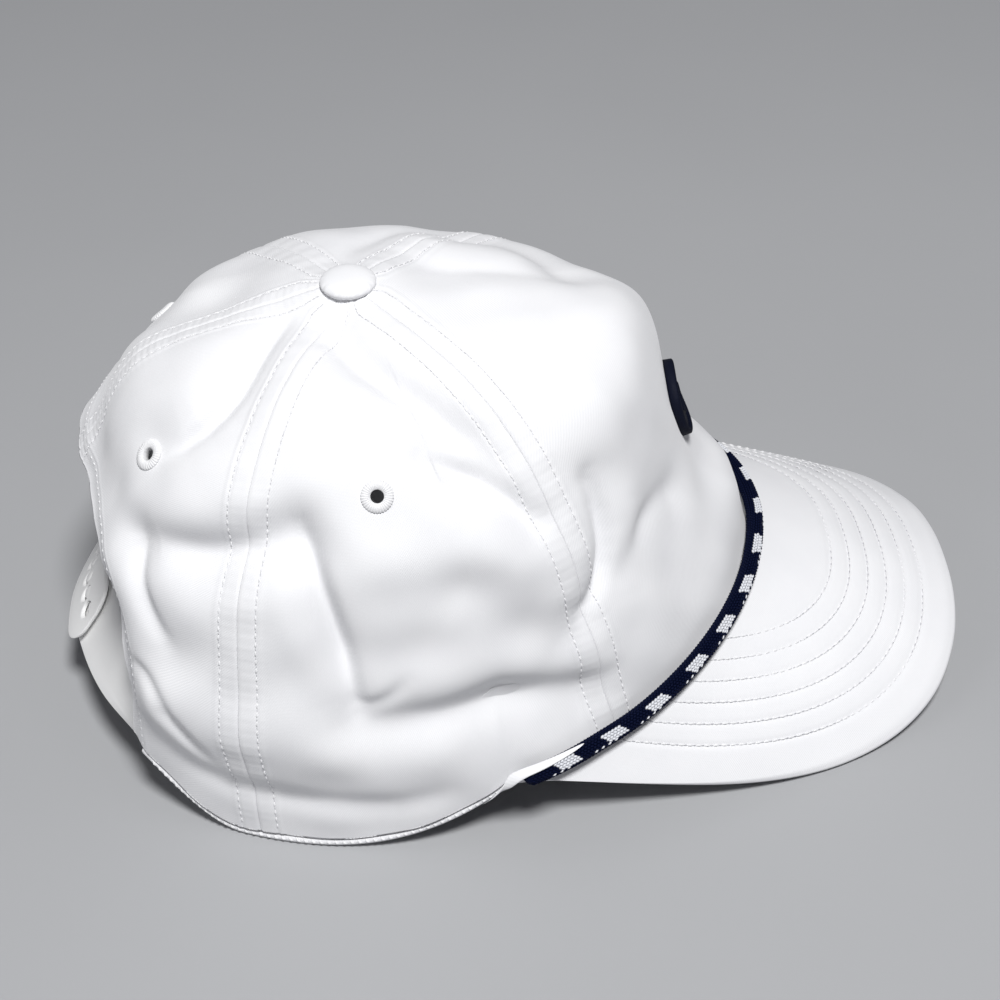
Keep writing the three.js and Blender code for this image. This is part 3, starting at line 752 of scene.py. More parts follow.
cotton = twill_material("cotton_twill", (0.86, 0.86, 0.87, 1), (0.74, 0.745, 0.77, 1), 0.014)
band_cotton = twill_material("cotton_band", (0.84, 0.84, 0.85, 1), (0.72, 0.72, 0.75, 1), 0.025)
white_thread = thread_material("white_thread", (0.88, 0.88, 0.88, 1), (0.7, 0.7, 0.72, 1))
# This grey material is painted shade: it stands for the shadow in the needle holes between stitches on the
# white cloth.
stitch_shadow_paint = thread_material("painted_stitch_shadows", (0.6, 0.6, 0.63, 1), (0.47, 0.47, 0.5, 1))
cord_navy = thread_material("cord_navy", (0.0025, 0.006, 0.03, 1), (0.001, 0.002, 0.012, 1), 0.0, 0.07)
cord_white = thread_material("cord_white", (0.85, 0.86, 0.88, 1), (0.6, 0.62, 0.68, 1))
badge_navy = thread_material("badge_thread", (0.003, 0.005, 0.018, 1), (0.001, 0.002, 0.008, 1), 0.0, 0.15)
strap_plastic = plastic_material("strap_plastic", (0.93, 0.93, 0.92, 1), (0.88, 0.88, 0.875, 1))


# Stitches: short arched threads, joined into one mesh for each seam

STITCH_SIDES = 6
STITCH_RINGS = 5


def stitch_mesh(name, starts, ends, normals, radius=STITCH_RADIUS, arch=STITCH_ARCH):
    """One thread from each start to its end, whose ends dip into the cloth."""
    along = unit(ends - starts)
    side = unit(np.cross(along, normals))
    up = np.cross(side, along)
    t = np.linspace(0, 1, STITCH_RINGS)[:, None]
    thick = radius * (0.45 + 0.55 * np.sin(math.pi * t))
    lift = (arch + radius) * np.sin(math.pi * t) - radius * 0.9
    middle = starts[:, None] + (ends - starts)[:, None] * t + up[:, None] * lift
    points = middle[:, :, None] + ovals(side, up, STITCH_SIDES)[:, None] * thick[:, None]
    quads = grid_quads(STITCH_RINGS, STITCH_SIDES, wrap=True)
    faces = quads[None] + (np.arange(len(starts)) * STITCH_RINGS * STITCH_SIDES)[:, None, None]
    return fill_ends(add_mesh(name, points, faces.reshape(-1, 4), white_thread))


def stitch_row(line, normals):
    """Starts, ends and normals of stitches along a line of points."""
    run = length_along(line)
    starts = np.arange(0, run[-1] - STITCH_LENGTH, STITCH_PITCH)
    middles = unit(read_line(normals, run, starts + STITCH_LENGTH / 2))
    return read_line(line, run, starts), read_line(line, run, starts + STITCH_LENGTH), middles


def joined_rows(rows):
    """Rows of the same kinds of arrays, as one array of each kind."""
    return [np.concatenate(parts) for parts in zip(*rows)]


STITCH_SHADE_FARTHEST = 2  # a wider space between two stitches gets no painted shade
STITCH_SHADE_REACH = 0.75  # half length of a painted shade mark as a share of that space
STITCH_SHADE_HALF_WIDTH = 0.19
STITCH_SHADE_LIFT = 0.05
STITCH_SHADE_SINK = 0.3
STITCH_SHADE_SIDES = 8


def painted_stitch_shadows(name, rows):
    """Painted shade between the stitches of each row: small closed grey lozenges let into the cloth, for the
    shadow in the needle holes.
    """
    parts = []
    for starts, ends, normals in rows:
        middle = (starts[1:] + ends[:-1]) / 2
        along = starts[1:] - ends[:-1]
        near = lengths(along) < STITCH_SHADE_FARTHEST
        parts.append((middle[near], along[near] * STITCH_SHADE_REACH, normals[1:][near]))
    middle, along, normals = joined_rows(parts)
    side = unit(np.cross(along, normals)) * STITCH_SHADE_HALF_WIDTH
    ring = middle[:, None] + ovals(along, side, STITCH_SHADE_SIDES)
    return lens_mesh(name, ring, middle + normals * STITCH_SHADE_LIFT, middle - normals * STITCH_SHADE_SINK, stitch_shadow_paint)


def lens_mesh(name, ring, top, low, material):
    """Closed bodies, each a ring of points with one point above it and one below."""
    count = ring.shape[1]
    points = np.concatenate([ring, top[:, None], low[:, None]], 1)
    here = np.arange(count)
    after = (here + 1) % count
    above = np.stack([here, after, np.full(count, count)], -1)
    below = np.stack([after, here, np.full(count, count + 1)], -1)
    offsets = (np.arange(len(ring)) * (count + 2))[:, None, None]
    faces = (np.concatenate([above, below])[None] + offsets).reshape(-1, 3)
    return face_out(add_mesh(name, points, faces, material))


def sewn_rows(name, rows, holes=True):
    """The stitches of several rows, with painted shade for the needle holes between them."""
    place_piece(stitch_mesh("stitches_" + name, *joined_rows(rows)), "white_thread")
    # The grey lozenges between the stitches are painted shade for the needle holes.
    if holes:
        place_piece(painted_stitch_shadows("painted_stitch_shadows_" + name, rows), "cotton_twill")


# Crown panels

EDGE_STEPS = np.array([0, 0.3, 0.6, 0.9, 1.3, 1.8, 2.5, 3.3, 4.1, 4.6, 5, 5.4, 5.9, 6.5, 7.2, 8])
EDGE_ZONE = EDGE_STEPS[-1]
CELL = 0.95


def spread(total, zone_start, zone_end):
    """Distances from 0 to total, close together in the zones at the ends that ask for it."""
    low = EDGE_STEPS if zone_start else np.array([0.0])
    high = total - (EDGE_STEPS[::-1] if zone_end else np.array([0.0]))
    count = max(2, round((high[0] - low[-1]) / CELL))
    return np.concatenate([low, np.linspace(low[-1], high[0], count + 1)[1:-1], high])


def row_distances(template, width):
    """The template's distances for a row of another width: the edge zones keep theirs if they fit."""
    total = template[-1]
    zone = min(EDGE_ZONE, 0.42 * width)
    knots = [0, EDGE_ZONE, total - EDGE_ZONE, total]
    return np.interp(template, knots, [0, zone, width - zone, width])


def panel_grid(start, end):
    """Azimuth and height of the points of a panel between two seams."""
    middle = (start + end) / 2
    fine = np.linspace(0, PANEL_TOP, 500)
    run = length_along(smooth_face(middle, fine))
    heights = np.interp(spread(run[-1], True, False), run, fine)
    heights[0] = WALL / 2 / MERIDIAN
    azimuths = np.linspace(start, end, 300)
    widths = [length_along(smooth_face(azimuths, height)) for height in heights]
    widest = max(width[-1] for width in widths)
    template = spread(widest, True, True)
    rows = [SEAM_GAP / 2 + row_distances(template, width[-1] - SEAM_GAP) for width in widths]
    azimuth = np.array([np.interp(row, width, azimuths) for row, width in zip(rows, widths)])
    return azimuth, np.broadcast_to(heights[:, None], azimuth.shape)


REAR_COLUMN = 128  # azimuth at the top of the column of points that starts at the opening's foot


def rear_grid(hand):
    """Azimuth and height of the points of a rear panel, whose lower edge rises along the opening."""
    foot = 180 - ARCH_HALF_ANGLE
    foot_top = REAR_COLUMN
    rim_run = (foot - SIDE_SEAM) * float(degree_length(foot_top, 0.0))
    at = spread(rim_run, True, False)
    rim_azimuth = SIDE_SEAM + (foot - SIDE_SEAM) * at / rim_run
    edge_azimuth, edge_height = arch_edge(400)
    run = length_along(smooth_face(edge_azimuth, edge_height))
    along = spread(run[-1], False, True)[1:]
    low_azimuth = np.concatenate([rim_azimuth, np.interp(along, run, edge_azimuth)])
    low_height = np.concatenate([np.zeros(len(at)), np.interp(along, run, edge_height)])
    top_azimuth = SIDE_SEAM + (foot_top - SIDE_SEAM) * at / rim_run
    top_azimuth = np.concatenate([top_azimuth, foot_top + (180 - foot_top) * along / run[-1]])
    fine = np.linspace(0, 1, 300)
    column = length_along(smooth_face(foot_top, PANEL_TOP * fine))
    share = np.interp(spread(column[-1], True, False), column, fine)
    share[0] = WALL / 2 / column[-1]
    azimuth = low_azimuth + (top_azimuth - low_azimuth) * share[:, None]
    height = low_height + (PANEL_TOP - low_height) * share[:, None]
    side = SEAM_GAP / 2 / np.maximum(degree_length(azimuth, height), 0.01)
    azimuth = np.clip(azimuth, SIDE_SEAM + side, 180 - side)
    return hand * azimuth, height


def cloth_weave(azimuth, height, middle):
    """Places on the flat cloth: across from the panel's middle line, and up along it."""
    fine = np.linspace(0, 1, 300)
    run = length_along(smooth_face(middle, fine))
    across = (azimuth - middle) * degree_length(middle, height)
    return np.stack([across, np.interp(height, fine, run)], -1)


def crown_panel(node_name, azimuth, height, middle):
    """A panel's cloth, with holes where its eyelets are."""
    outer = cloth_place(azimuth, height)
    inner = cloth_place(azimuth, height, WALL)
    cells = smooth_face(*((grid[:-1, :-1] + grid[1:, 1:]) / 2 for grid in (azimuth, height)))
    keep = np.ones(cells.shape[:2], bool)
    for place in eyelet_places:
        keep &= lengths(cells - place) > EYELET_NECK + GAP
    weave = cloth_weave(azimuth, height, middle)
    holed = None if keep.all() else keep
    piece = cloth_wall(node_name + "_cloth", outer, inner, weave, cotton, holed)
    return place_piece(piece, "cotton_twill", node_name)


def crown():
    side_middle = (FRONT_SEAM + SIDE_SEAM) / 2
    rear_middle = (SIDE_SEAM + 180) / 2
    crown_panel("front_panel", *panel_grid(-FRONT_SEAM, FRONT_SEAM), 0)
    crown_panel("side_panel_right", *panel_grid(FRONT_SEAM, SIDE_SEAM), side_middle)
    crown_panel("side_panel_left", *panel_grid(-SIDE_SEAM, -FRONT_SEAM), -side_middle)
    crown_panel("rear_panel_right", *rear_grid(1), rear_middle)
    crown_panel("rear_panel_left", *rear_grid(-1), -rear_middle)


SEAM_ROWS_FROM = 0.012
SEAM_ROWS_TO = 0.955


def cloth_row(azimuth, height, depth=0.0):
    """Stitches along a line on the crown."""
    return stitch_row(cloth_place(azimuth, height, depth), cloth_normal(azimuth, height))


def seam_stitches():
    """Two rows of stitches beside each seam of the crown, and one round the opening."""
    names = ("side_left", "front_left", "front_right", "side_right", "rear")
    for name, seam in zip(names, SEAMS):
        low = SEAM_ROWS_FROM + ARCH_TOP * (seam == 180)
        height = np.linspace(low, SEAM_ROWS_TO, 240)
        offset = stitch_offset(height) / degree_length(seam, height)
        sewn_rows(name + "_seam", [cloth_row(seam + way * offset, height) for way in (-1, 1)])
    rows = [cloth_row(*arch_inward(hand), OPENING_STITCH_SINK) for hand in (1, -1)]
    sewn_rows("opening", rows, holes=False)


REAR_DEGREE = 1.75  # length of one degree of azimuth beside the opening


def arch_inward(hand):
    """The line at the hem's width from the opening's edge, as azimuth and height."""
    edge_azimuth, edge_height = arch_edge(160)
    flat = np.stack([edge_azimuth * REAR_DEGREE, edge_height * MERIDIAN], -1)
    along = unit(np.gradient(flat, axis=0))
    off = flat + np.stack([-along[:, 1], along[:, 0]], -1) * HEM_OFFSET
    kept = off[:, 1] > 1
    return hand * np.minimum(off[kept, 0] / REAR_DEGREE, 179.6), off[kept, 1] / MERIDIAN


# Peak


corner_across, corner_forward = flat_place(*rim_plan(-PEAK_CORNER))
EDGE_START = corner_forward + PEAK_CORNER_DEPTH


def peak_edge(angle, half_width, length):
    """Flat places along an outline of the peak's form, from one side to the other."""
    power = 2 / PEAK_OUTLINE_POWER
    across = half_width * np.sign(angle) * np.abs(np.sin(angle)) ** power
    return across, EDGE_START + (length - EDGE_START) * np.maximum(0, np.cos(angle)) ** power


def peak_flat(t, k, below):
    """Flat places of the peak: t runs from corner to corner, and k from the seam to the edge."""
    x, y = rim_plan(-t * PEAK_CORNER)
    clear = 1 + GAP / np.hypot(x, y)
    seam_across, seam_forward = flat_place(x * clear, y * clear, below)
    half_width = PEAK_HALF_WIDTH + (corner_across - PEAK_HALF_WIDTH) * np.abs(t) ** 12
    edge_across, edge_forward = peak_edge(t * math.pi / 2, half_width, PEAK_LENGTH)
    return seam_across + (edge_across - seam_across) * k, seam_forward + (edge_forward - seam_forward) * k


def peak_rows():
    """Stitch rows of the peak, each a line of flat places parallel to its edge."""
    seam_across, seam_forward = flat_place(*rim_plan(-np.linspace(0, PEAK_CORNER, 200)))
    angle = np.linspace(-math.pi / 2, math.pi / 2, 1200)
    rows = []
    for number in range(PEAK_ROWS):
        inset = PEAK_FIRST_ROW + PEAK_ROW_STEP * number
        across, forward = peak_edge(angle, PEAK_HALF_WIDTH - inset, PEAK_LENGTH - inset)
        ahead = forward - np.interp(np.abs(across), seam_across, seam_forward)
        inside = (ahead > PEAK_ROW_CLEAR) & (np.abs(across) < seam_across[-1])
        line = np.stack([across[inside], forward[inside], np.zeros(inside.sum())], -1)
        run = length_along(line)
        rows.append(read_line(line, run, np.arange(0, run[-1], PEAK_ROW_POINTS)))
    return rows


def peak_relief(across, forward, rows):
    """The sewing draws the peak's cloth in along each row, and the cloth stands up between them."""
    flat = np.stack([across, forward, np.zeros_like(across)], -1)
    relief = np.zeros(across.shape)
    for row in rows:
        relief -= PEAK_ROW_DIP * bell(distance_to_line(flat, row), 0.8)
    return relief + 0.1 * undulation(flat * 0.8)


def edge_sink(k):
    """The faces draw together over the last few millimetres, before the round edge."""
    return 0.45 * smooth01((k - 0.955) / 0.045) ** 2


def peak():
    """The peak's cloth, as one sheet above and one below."""
    rows = peak_rows()
    fine = np.linspace(-1, 1, 3001)
    edge, seam = (np.stack(peak_flat(fine, k, 0), -1) for k in (1.0, 0.0))
    run = length_along(edge) + length_along(seam)
    t = np.interp(np.linspace(0, run[-1], 300), run, fine)
    k = np.concatenate([np.linspace(0, 0.96, 64), 1 - np.array([1.2, 0.6, 0]) / 70])
    thickness = PEAK_THICKNESS * (1 - PEAK_THINNING * t[None, :] ** 10)
    sheets = []
    for below, way in ((0 * thickness, 1), (thickness, -1)):
        across, forward = peak_flat(t[None, :], k[:, None], below)
        lift = way * (peak_relief(across, forward, rows) - edge_sink(k)[:, None])
        sheets.append(sheet_place(across, forward, below - lift)[::-1])
    weave = np.stack(peak_flat(t[None, :], k[:, None], 0 * thickness), -1)[::-1]
    piece = cloth_wall("peak_cloth", *sheets, weave, cotton)
    place_piece(piece, "cotton_twill", "peak")
    peak_stitches(rows)


def peak_stitches(rows):
    """The rows' stitches, seen on both faces of the peak."""
    under = PEAK_THICKNESS - PEAK_STITCH_SINK
    for name, below, way in (("top", PEAK_STITCH_SINK, 1), ("under", under, -1)):
        parts = []
        for row in rows:
            line = sheet_place(row[:, 0], row[:, 1], below)
            parts.append(stitch_row(line, way * sheet_normal(row[:, 0])))
        sewn_rows("peak_" + name, parts)


# Sweatband


BAND_STATIONS = 430
RIM_STITCH_LOW = (0.15, 0.95)  # depth and rise where a stitch over the rolled edge starts
RIM_STITCH_HIGH = (0.3, 1.85)
RIM_STITCH_ARCH = 0.2
BAND_STITCH_INSET = 3  # the band's row lies this far below its upper edge


def sweatband():
    """The band inside the rim. Its section, of (depth, rise), starts with the rolled edge."""
    outer = WALL + BAND_GAP
    inner = outer + BAND_THICKNESS
    lip = [(0.8, 2.1), (0.25, 1.75), (0.02, 1.2), (0.15, 0.6), (0.6, 0.2), (1.3, 0.02), (2.1, 0.0)]
    lip += [(3.0, 0.15), (3.7, 0.6), (inner, 1.3), (inner, 2.2)]
    inside = [(inner, rise) for rise in np.linspace(3.4, BAND_HEIGHT - 0.6, 22)]
    top = [(inner - 0.3, BAND_HEIGHT - 0.1), (outer + 0.3, BAND_HEIGHT - 0.1)]
    back = [(outer, rise) for rise in np.linspace(BAND_HEIGHT - 0.6, 3.4, 22)]
    depth, rise = np.array(lip + inside + top + back + [(outer, 2.4), (2.0, 2.1)]).T
    azimuth = np.linspace(-BAND_END, BAND_END, BAND_STATIONS)
    run = length_along(rim_place(azimuth, 0.0, 0.0))
    weave = np.stack(grids(run[:, None], rise), -1)
    piece = tube_mesh("sweatband_cloth", rim_place(azimuth[:, None], depth, rise), band_cotton, weave)
    place_piece(piece, "cotton_band", "sweatband")
    rim_stitches()


def rim_stitches():
    """Slanted stitches over the rolled edge, and one row along the top of the band inside."""
    azimuth = np.linspace(-BAND_END + 1, BAND_END - 1, 900)
    run = length_along(rim_place(azimuth, 0.0, 1.4))
    at = np.arange(1, run[-1] - 3, RIM_STITCH_STEP)
    start = np.interp(at, run, azimuth)
    end = np.interp(at + RIM_STITCH_RUN, run, azimuth)
    slanted = rim_place(start, *RIM_STITCH_LOW), rim_place(end, *RIM_STITCH_HIGH), smooth_normal(start, 0.0)
    piece = stitch_mesh("stitches_rim", *slanted, RIM_STITCH_RADIUS, RIM_STITCH_ARCH)
    place_piece(piece, "white_thread")
    line = rim_place(azimuth, WALL + BAND_GAP + BAND_THICKNESS, BAND_HEIGHT - BAND_STITCH_INSET)
    row = stitch_row(line, -smooth_normal(azimuth, 0.15))
    place_piece(stitch_mesh("stitches_band", *row), "white_thread")


# Cord

CORD_HEIGHT = 0.02  # place on the crown that the cord lies against
CORE_STATIONS = 260
CORE_SIDES = 24
CORE_SINK = 0.3  # the core is thinner than the cord by this, under the yarns
CORD_END_ROUND = 2.2
CORD_COLUMNS = 20  # yarns round the cord
SHOWN_COLUMNS = 7  # on each side of the one that faces out; the rest are hidden
GRAIN_STEP = 1.05  # along the cord
GRAIN_LENGTH = 1.5
GRAIN_WIDTH = 0.86
GRAIN_RISE = 0.34
GRAIN_DROP = 0.3
GRAIN_SINK = 0.28
GRAIN_SLANT = math.radians(20)
GRAIN_SIDES = 8
FLECK_STEP = 15
FLECK_LENGTH = 6.4
FLECK_SLANT = 0.5
FLECK_FIRST = 12.2  # middle of the first fleck from the cord's right end
DOTTED_COLUMN = -2
DOTTED_FROM = -7  # the dotted lines' ends, from each fleck's middle
DOTTED_TO = 1.5
DOTTED_FROM_END = 7


def rope_place(azimuth):
    """The cord's middle, and the way that it faces, between the crown and the peak."""
    across, forward = flat_place(*rim_plan(azimuth))
    corner = sheet_place(across, forward)
    outward = crown_normal(azimuth, CORD_HEIGHT)
    upward = sheet_normal(across)
    clear = ROPE_RADIUS + GAP + 0.1
    share = clear / (1 + np.sum(outward * upward, -1, keepdims=True))
    return corner + (outward + upward) * share, unit(outward + upward)


def cord_frame():
    """Lengths along the cord, and at each of them its middle and three directions."""
    azimuth = np.linspace(-ROPE_END, ROPE_END, 900)
    middle, facing = rope_place(azimuth)
    run = length_along(middle)
    tangent = unit(np.gradient(middle, axis=0))
    facing = unit(facing - np.sum(facing * tangent, -1, keepdims=True) * tangent)
    return run, middle, tangent, facing, np.cross(tangent, facing)


def is_white(column, from_end):
    """Whether the braid shows a white yarn: a slanted fleck, and dotted lines beside it."""
    place = (from_end - FLECK_FIRST + FLECK_STEP / 2) % FLECK_STEP - FLECK_STEP / 2
    if -1 <= column <= 2:
        return np.abs(place + FLECK_SLANT * (column - 0.5)) < FLECK_LENGTH / 2
    every_other = np.round(from_end / GRAIN_STEP) % 2 == 0
    dots = (place > DOTTED_FROM) & (place < DOTTED_TO) & (from_end > DOTTED_FROM_END)
    return dots & every_other & (column == DOTTED_COLUMN)


def rope():
    """The braided cord: a core, and over it yarn floats that lean one way and the other by turns."""
    run, *lines = cord_frame()
    stations = np.linspace(0, run[-1], CORE_STATIONS)
    middle, _, facing, sideways = (read_line(line, run, stations) for line in lines)
    from_end = np.minimum(stations, run[-1] - stations) / CORD_END_ROUND
    end_round = np.maximum(np.sqrt(1 - (1 - np.minimum(from_end, 1)) ** 2), 0.05)
    radius = (ROPE_RADIUS - CORE_SINK) * end_round
    points = middle[:, None] + ovals(facing, sideways, CORE_SIDES) * radius[:, None, None]
    place_piece(tube_mesh("rope_core", points, cord_navy), "braided_cord", "rope")

    grains = {True: [], False: []}
    for column in range(-SHOWN_COLUMNS, SHOWN_COLUMNS + 1):
        where = np.arange(CORD_END_ROUND, run[-1] - CORD_END_ROUND, GRAIN_STEP) + column % 2 * GRAIN_STEP / 2
        middle, tangent, facing, sideways = (read_line(line, run, where) for line in lines)
        angle = 2 * math.pi * column / CORD_COLUMNS
        out = facing * math.cos(angle) + sideways * math.sin(angle)
        round_way = sideways * math.cos(angle) - facing * math.sin(angle)
        slant = GRAIN_SLANT if column % 2 else -GRAIN_SLANT
        along = unit(tangent * math.cos(slant) + round_way * math.sin(slant))
        place = middle + out * (ROPE_RADIUS - GRAIN_SINK)
        white = is_white(column, run[-1] - where)
        for colour in grains:
            chosen = white == colour
            grains[colour].append((place[chosen], along[chosen], out[chosen]))
    yarns = (("rope_yarns_navy", cord_navy, False), ("rope_yarns_white", cord_white, True))
    for name, material, colour in yarns:
        place_piece(grain_mesh(name, *joined_rows(grains[colour]), material), "braided_cord")


def grain_mesh(name, place, along, out, material):
    """Yarn floats: each a low closed oval mound, longer than wide."""
    side = np.cross(along, out)
    ring = place[:, None] + ovals(along * GRAIN_LENGTH / 2, side * GRAIN_WIDTH / 2, GRAIN_SIDES)
    return lens_mesh(name, ring, place + out * GRAIN_RISE, place - out * GRAIN_DROP, material)


CORD_COVER_FROM = 80  # azimuths of the folded strip that covers the cord's right end
CORD_COVER_TO = 63.5
CORD_COVER_CLIMB = 79  # from here the strip climbs from the rim onto the cord
CORD_COVER_TURN = math.radians(62)  # how far round the cord, towards the crown, it lies
CORD_COVER_HALF_WIDTH = 1.9
CORD_COVER_HALF_THICKNESS = 0.6
CORD_COVER_STATIONS = 60
CORD_COVER_SIDES = 16


def cord_cover():
    """The rim's folded strip runs on over the crown side of the cord's end and thins out."""
    share = np.linspace(0, 1, CORD_COVER_STATIONS)
    azimuth = CORD_COVER_FROM + (CORD_COVER_TO - CORD_COVER_FROM) * share
    over = smooth01((CORD_COVER_CLIMB - azimuth) / 6)[:, None]
    outward = crown_normal(azimuth, CORD_HEIGHT)
    upward = sheet_normal(flat_place(*rim_plan(azimuth))[0])
    middle, facing = rope_place(azimuth)
    crownward = unit(np.cross(-np.gradient(middle, axis=0), facing))
    on_cord = facing * math.cos(CORD_COVER_TURN) + crownward * math.sin(CORD_COVER_TURN)
    round_cord = facing * math.sin(CORD_COVER_TURN) - crownward * math.cos(CORD_COVER_TURN)
    line = rim_place(azimuth, -0.8, 1.3) * (1 - over) + (middle + on_cord * (ROPE_RADIUS + 0.1)) * over
    across = unit((outward * 0.35 - upward) * (1 - over) + round_cord * over)
    out = unit(np.cross(across, np.gradient(line, axis=0)))
    size = smooth01(share / 0.3) * np.sqrt(np.maximum(1 - share, 0.002))
    rings = ovals(across * CORD_COVER_HALF_WIDTH, out * CORD_COVER_HALF_THICKNESS, CORD_COVER_SIDES)
    points = line[:, None] + rings * np.maximum(size, 0.05)[:, None, None]
    weave = np.stack(grids(azimuth[:, None] * 1.6, np.cos(full_turn(CORD_COVER_SIDES))), -1)
    place_piece(tube_mesh("cord_cover", points, cotton, weave), "cotton_twill")


# Button and eyelets


def lathe(name, profile, sides, place, direction, material, ripple=None, ring=False):
    """A profile of (radius, height) turned about a unit direction; a ring's profile closes on itself."""
    profile = np.array(profile, float)
    radius, height, turn = grids(profile[:, :1], profile[:, 1:], full_turn(sides))
    side = unit(np.cross(direction, [0.3, 1, 0.2]))
    other = np.cross(direction, side)
    if ripple is not None:
        radius, height = ripple(radius, height, turn)
    flat = np.stack([radius * np.cos(turn), radius * np.sin(turn)], -1)
    points = place + flat @ np.stack([side, other]) + height[..., None] * direction
    faces = grid_quads(len(profile) + ring, sides, wrap=True) % radius.size
    return fill_ends(add_mesh(name, points, faces, material, flat))


BUTTON_SIDES = 140
BUTTON_EDGE = 0.35


def button():
    """The covered button: a dome over a narrow foot, its cloth gathered round the rim."""
    angle = np.radians(np.linspace(0, 88, 26))
    rise = BUTTON_EDGE + (BUTTON_HEIGHT - BUTTON_EDGE) * np.sin(angle)
    dome = list(zip(BUTTON_RADIUS * np.cos(angle) ** 0.75, rise))
    profile = [(BUTTON_RADIUS * 0.9, -0.9), (BUTTON_RADIUS * 0.97, -0.4), *dome, (0.05, BUTTON_HEIGHT)]

    def gathers(radius, height, turn):
        """Small waves of the cloth round the rim."""
        rim = smooth01((radius / BUTTON_RADIUS - 0.72) / 0.28)
        wave = np.sin(turn * 17) * 0.6 + np.sin(turn * 26 + 1) * 0.4
        return radius + 0.07 * wave * rim, height + 0.05 * wave * rim

    place = np.array([0, BUTTON_BEHIND_CENTRE, CROWN_HEIGHT + TOP_RISE + GAP])
    up = np.array([0, 0, 1.0])
    piece = lathe("button_cloth", profile, BUTTON_SIDES, place, up, cotton, gathers)
    place_piece(piece, "cotton_twill", "button")


EYELET_THREADS = 34


def eyelets():
    """Sewn rings, whose threads run over the edge of the hole."""
    share = np.linspace(0, 1, 15)
    radius = EYELET_HOLE + (EYELET_RADIUS - EYELET_HOLE) * share
    bulge = 0.1 + 0.75 * np.sin(math.pi * np.clip(share * 0.9 + 0.08, 0, 1)) ** 0.7
    neck = EYELET_NECK - 0.1
    profile = [(neck, -WALL - 0.1), (EYELET_HOLE, -WALL), (EYELET_HOLE, -0.3)]
    profile += [*zip(radius, bulge), (EYELET_RADIUS, -0.3), (neck, -0.5)]

    def threads(radius, height, turn):
        """A ridge for each thread, lower towards the ring's edges."""
        over = smooth01((height + 0.1) / 0.4)
        ridge = np.abs(np.sin(turn * EYELET_THREADS / 2))
        uneven = 0.5 + 0.5 * np.sin(turn * 5 + 1)
        grown = radius + 0.14 * over * (ridge - 0.5) * smooth01((radius - 3.2) / 0.8)
        return grown, height + over * (0.13 * ridge - 0.09 + 0.04 * uneven)

    for name, azimuth, height in EYELETS:
        place = crown_place(azimuth, height)
        out = crown_normal(azimuth, height)
        piece = lathe(name + "_thread", profile, EYELET_THREADS * 6, place, out, white_thread, threads, True)
        place_piece(piece, "white_thread", name)


# Badge


BADGE_RINGS = 46
BADGE_SIDES = 260
BADGE_FIELD = 0.78  # the border starts at this share of the half width
SATIN_THREADS = 52
DIAMOND_HALF = 6.4


def badge():
    """A padded navy badge with a satin-stitched border and a plain raised diamond."""
    share = np.linspace(0, 1, BADGE_RINGS)[:, None]
    turn = full_turn(BADGE_SIDES)
    ways = (np.sign(way) * np.abs(way) ** (2 / BADGE_POWER) for way in (np.cos(turn), np.sin(turn)))
    across, upward = (BADGE_HALF * share * way for way in ways)
    border = smooth01((share - BADGE_FIELD) / 0.05)
    roll = np.sqrt(np.clip(1 - ((share - 0.9) / 0.1) ** 2, 0, 1))
    satin = np.abs(np.sin(turn * SATIN_THREADS))
    field = np.sin((across + upward) * math.pi / 0.55)
    diamond = (np.abs(across) + np.abs(upward)) / DIAMOND_HALF
    raised = smooth01((1 - diamond) / 0.1) * smooth01((diamond - 0.5) / 0.1)
    motif = np.sin((across - upward) * math.pi / 0.5)
    low = BADGE_OUT - 0.85
    out = (1 - border) * (low + 0.07 * field * (1 - raised) + raised * (0.55 + 0.08 * motif))
    out += border * (low - 0.2 + roll * (0.95 + 0.12 * satin))
    out *= 1 - smooth01((share - 0.985) / 0.015)
    height = BADGE_HEIGHT + upward / MERIDIAN
    azimuth = across / -smooth_face(-1.0, height)[..., 0]
    points = crown_place(azimuth, height) + (0.05 + out)[..., None] * crown_normal(azimuth, height)
    faces = grid_quads(BADGE_RINGS, BADGE_SIDES, wrap=True)
    piece = add_mesh("badge_embroidery", points, faces, badge_navy)
    with edited(piece.data) as mesh:
        bmesh.ops.remove_doubles(mesh, verts=mesh.verts, dist=1e-6)
    place_piece(fill_ends(piece), "badge_thread", "badge")


# Strap


def strap_value(azimuth, column):
    """A value of the strap's path, the same on both sides of the middle, by a cubic through its rows."""
    away = turned(azimuth)
    path = np.array(STRAP_PATH)
    stations, values = path[:, 0], path[:, column]
    slopes = np.gradient(values, stations)
    i = np.clip(np.searchsorted(stations, away, side="right") - 1, 0, len(stations) - 2)
    step = stations[i + 1] - stations[i]
    t = (away - stations[i]) / step
    rest = 1 - t
    ends = values[i] * (1 + 2 * t) * rest**2 + values[i + 1] * t**2 * (3 - 2 * t)
    return ends + step * t * rest * (slopes[i] * rest - slopes[i + 1] * t)


def strap_place(azimuth, rise, out=0.0):
    """A place on the strap: rise above its lower edge's height, and out from its inner face."""
    lean = strap_value(azimuth, 2) * rise / STRAP_HEIGHT
    return rim_place(azimuth, strap_value(azimuth, 1) + lean - out, rise)


def hole_azimuth(i):
    """Azimuth of the outer tab's holes, counted from its free end."""
    return HOLE_STEP * (i + 0.9) - STRAP_OUTER_END


TAB_CORNER = 7.5
TAB_BEVEL = 0.3
TAB_STEP = 1.5  # the flat tab is cut across at these steps, so that it can bend


def tab_outline(length):
    """Flat outline of a tab with a round free end, from its sewn end, as [along, up]."""
    turn = np.radians(np.linspace(0, 90, 12))
    start = length - TAB_CORNER
    lower = [(start + TAB_CORNER * math.sin(a), TAB_CORNER - TAB_CORNER * math.cos(a)) for a in turn]
    upper = [(x, STRAP_HEIGHT - y) for x, y in reversed(lower)]
    return [(0, 0), *lower, *upper, (0, STRAP_HEIGHT)]


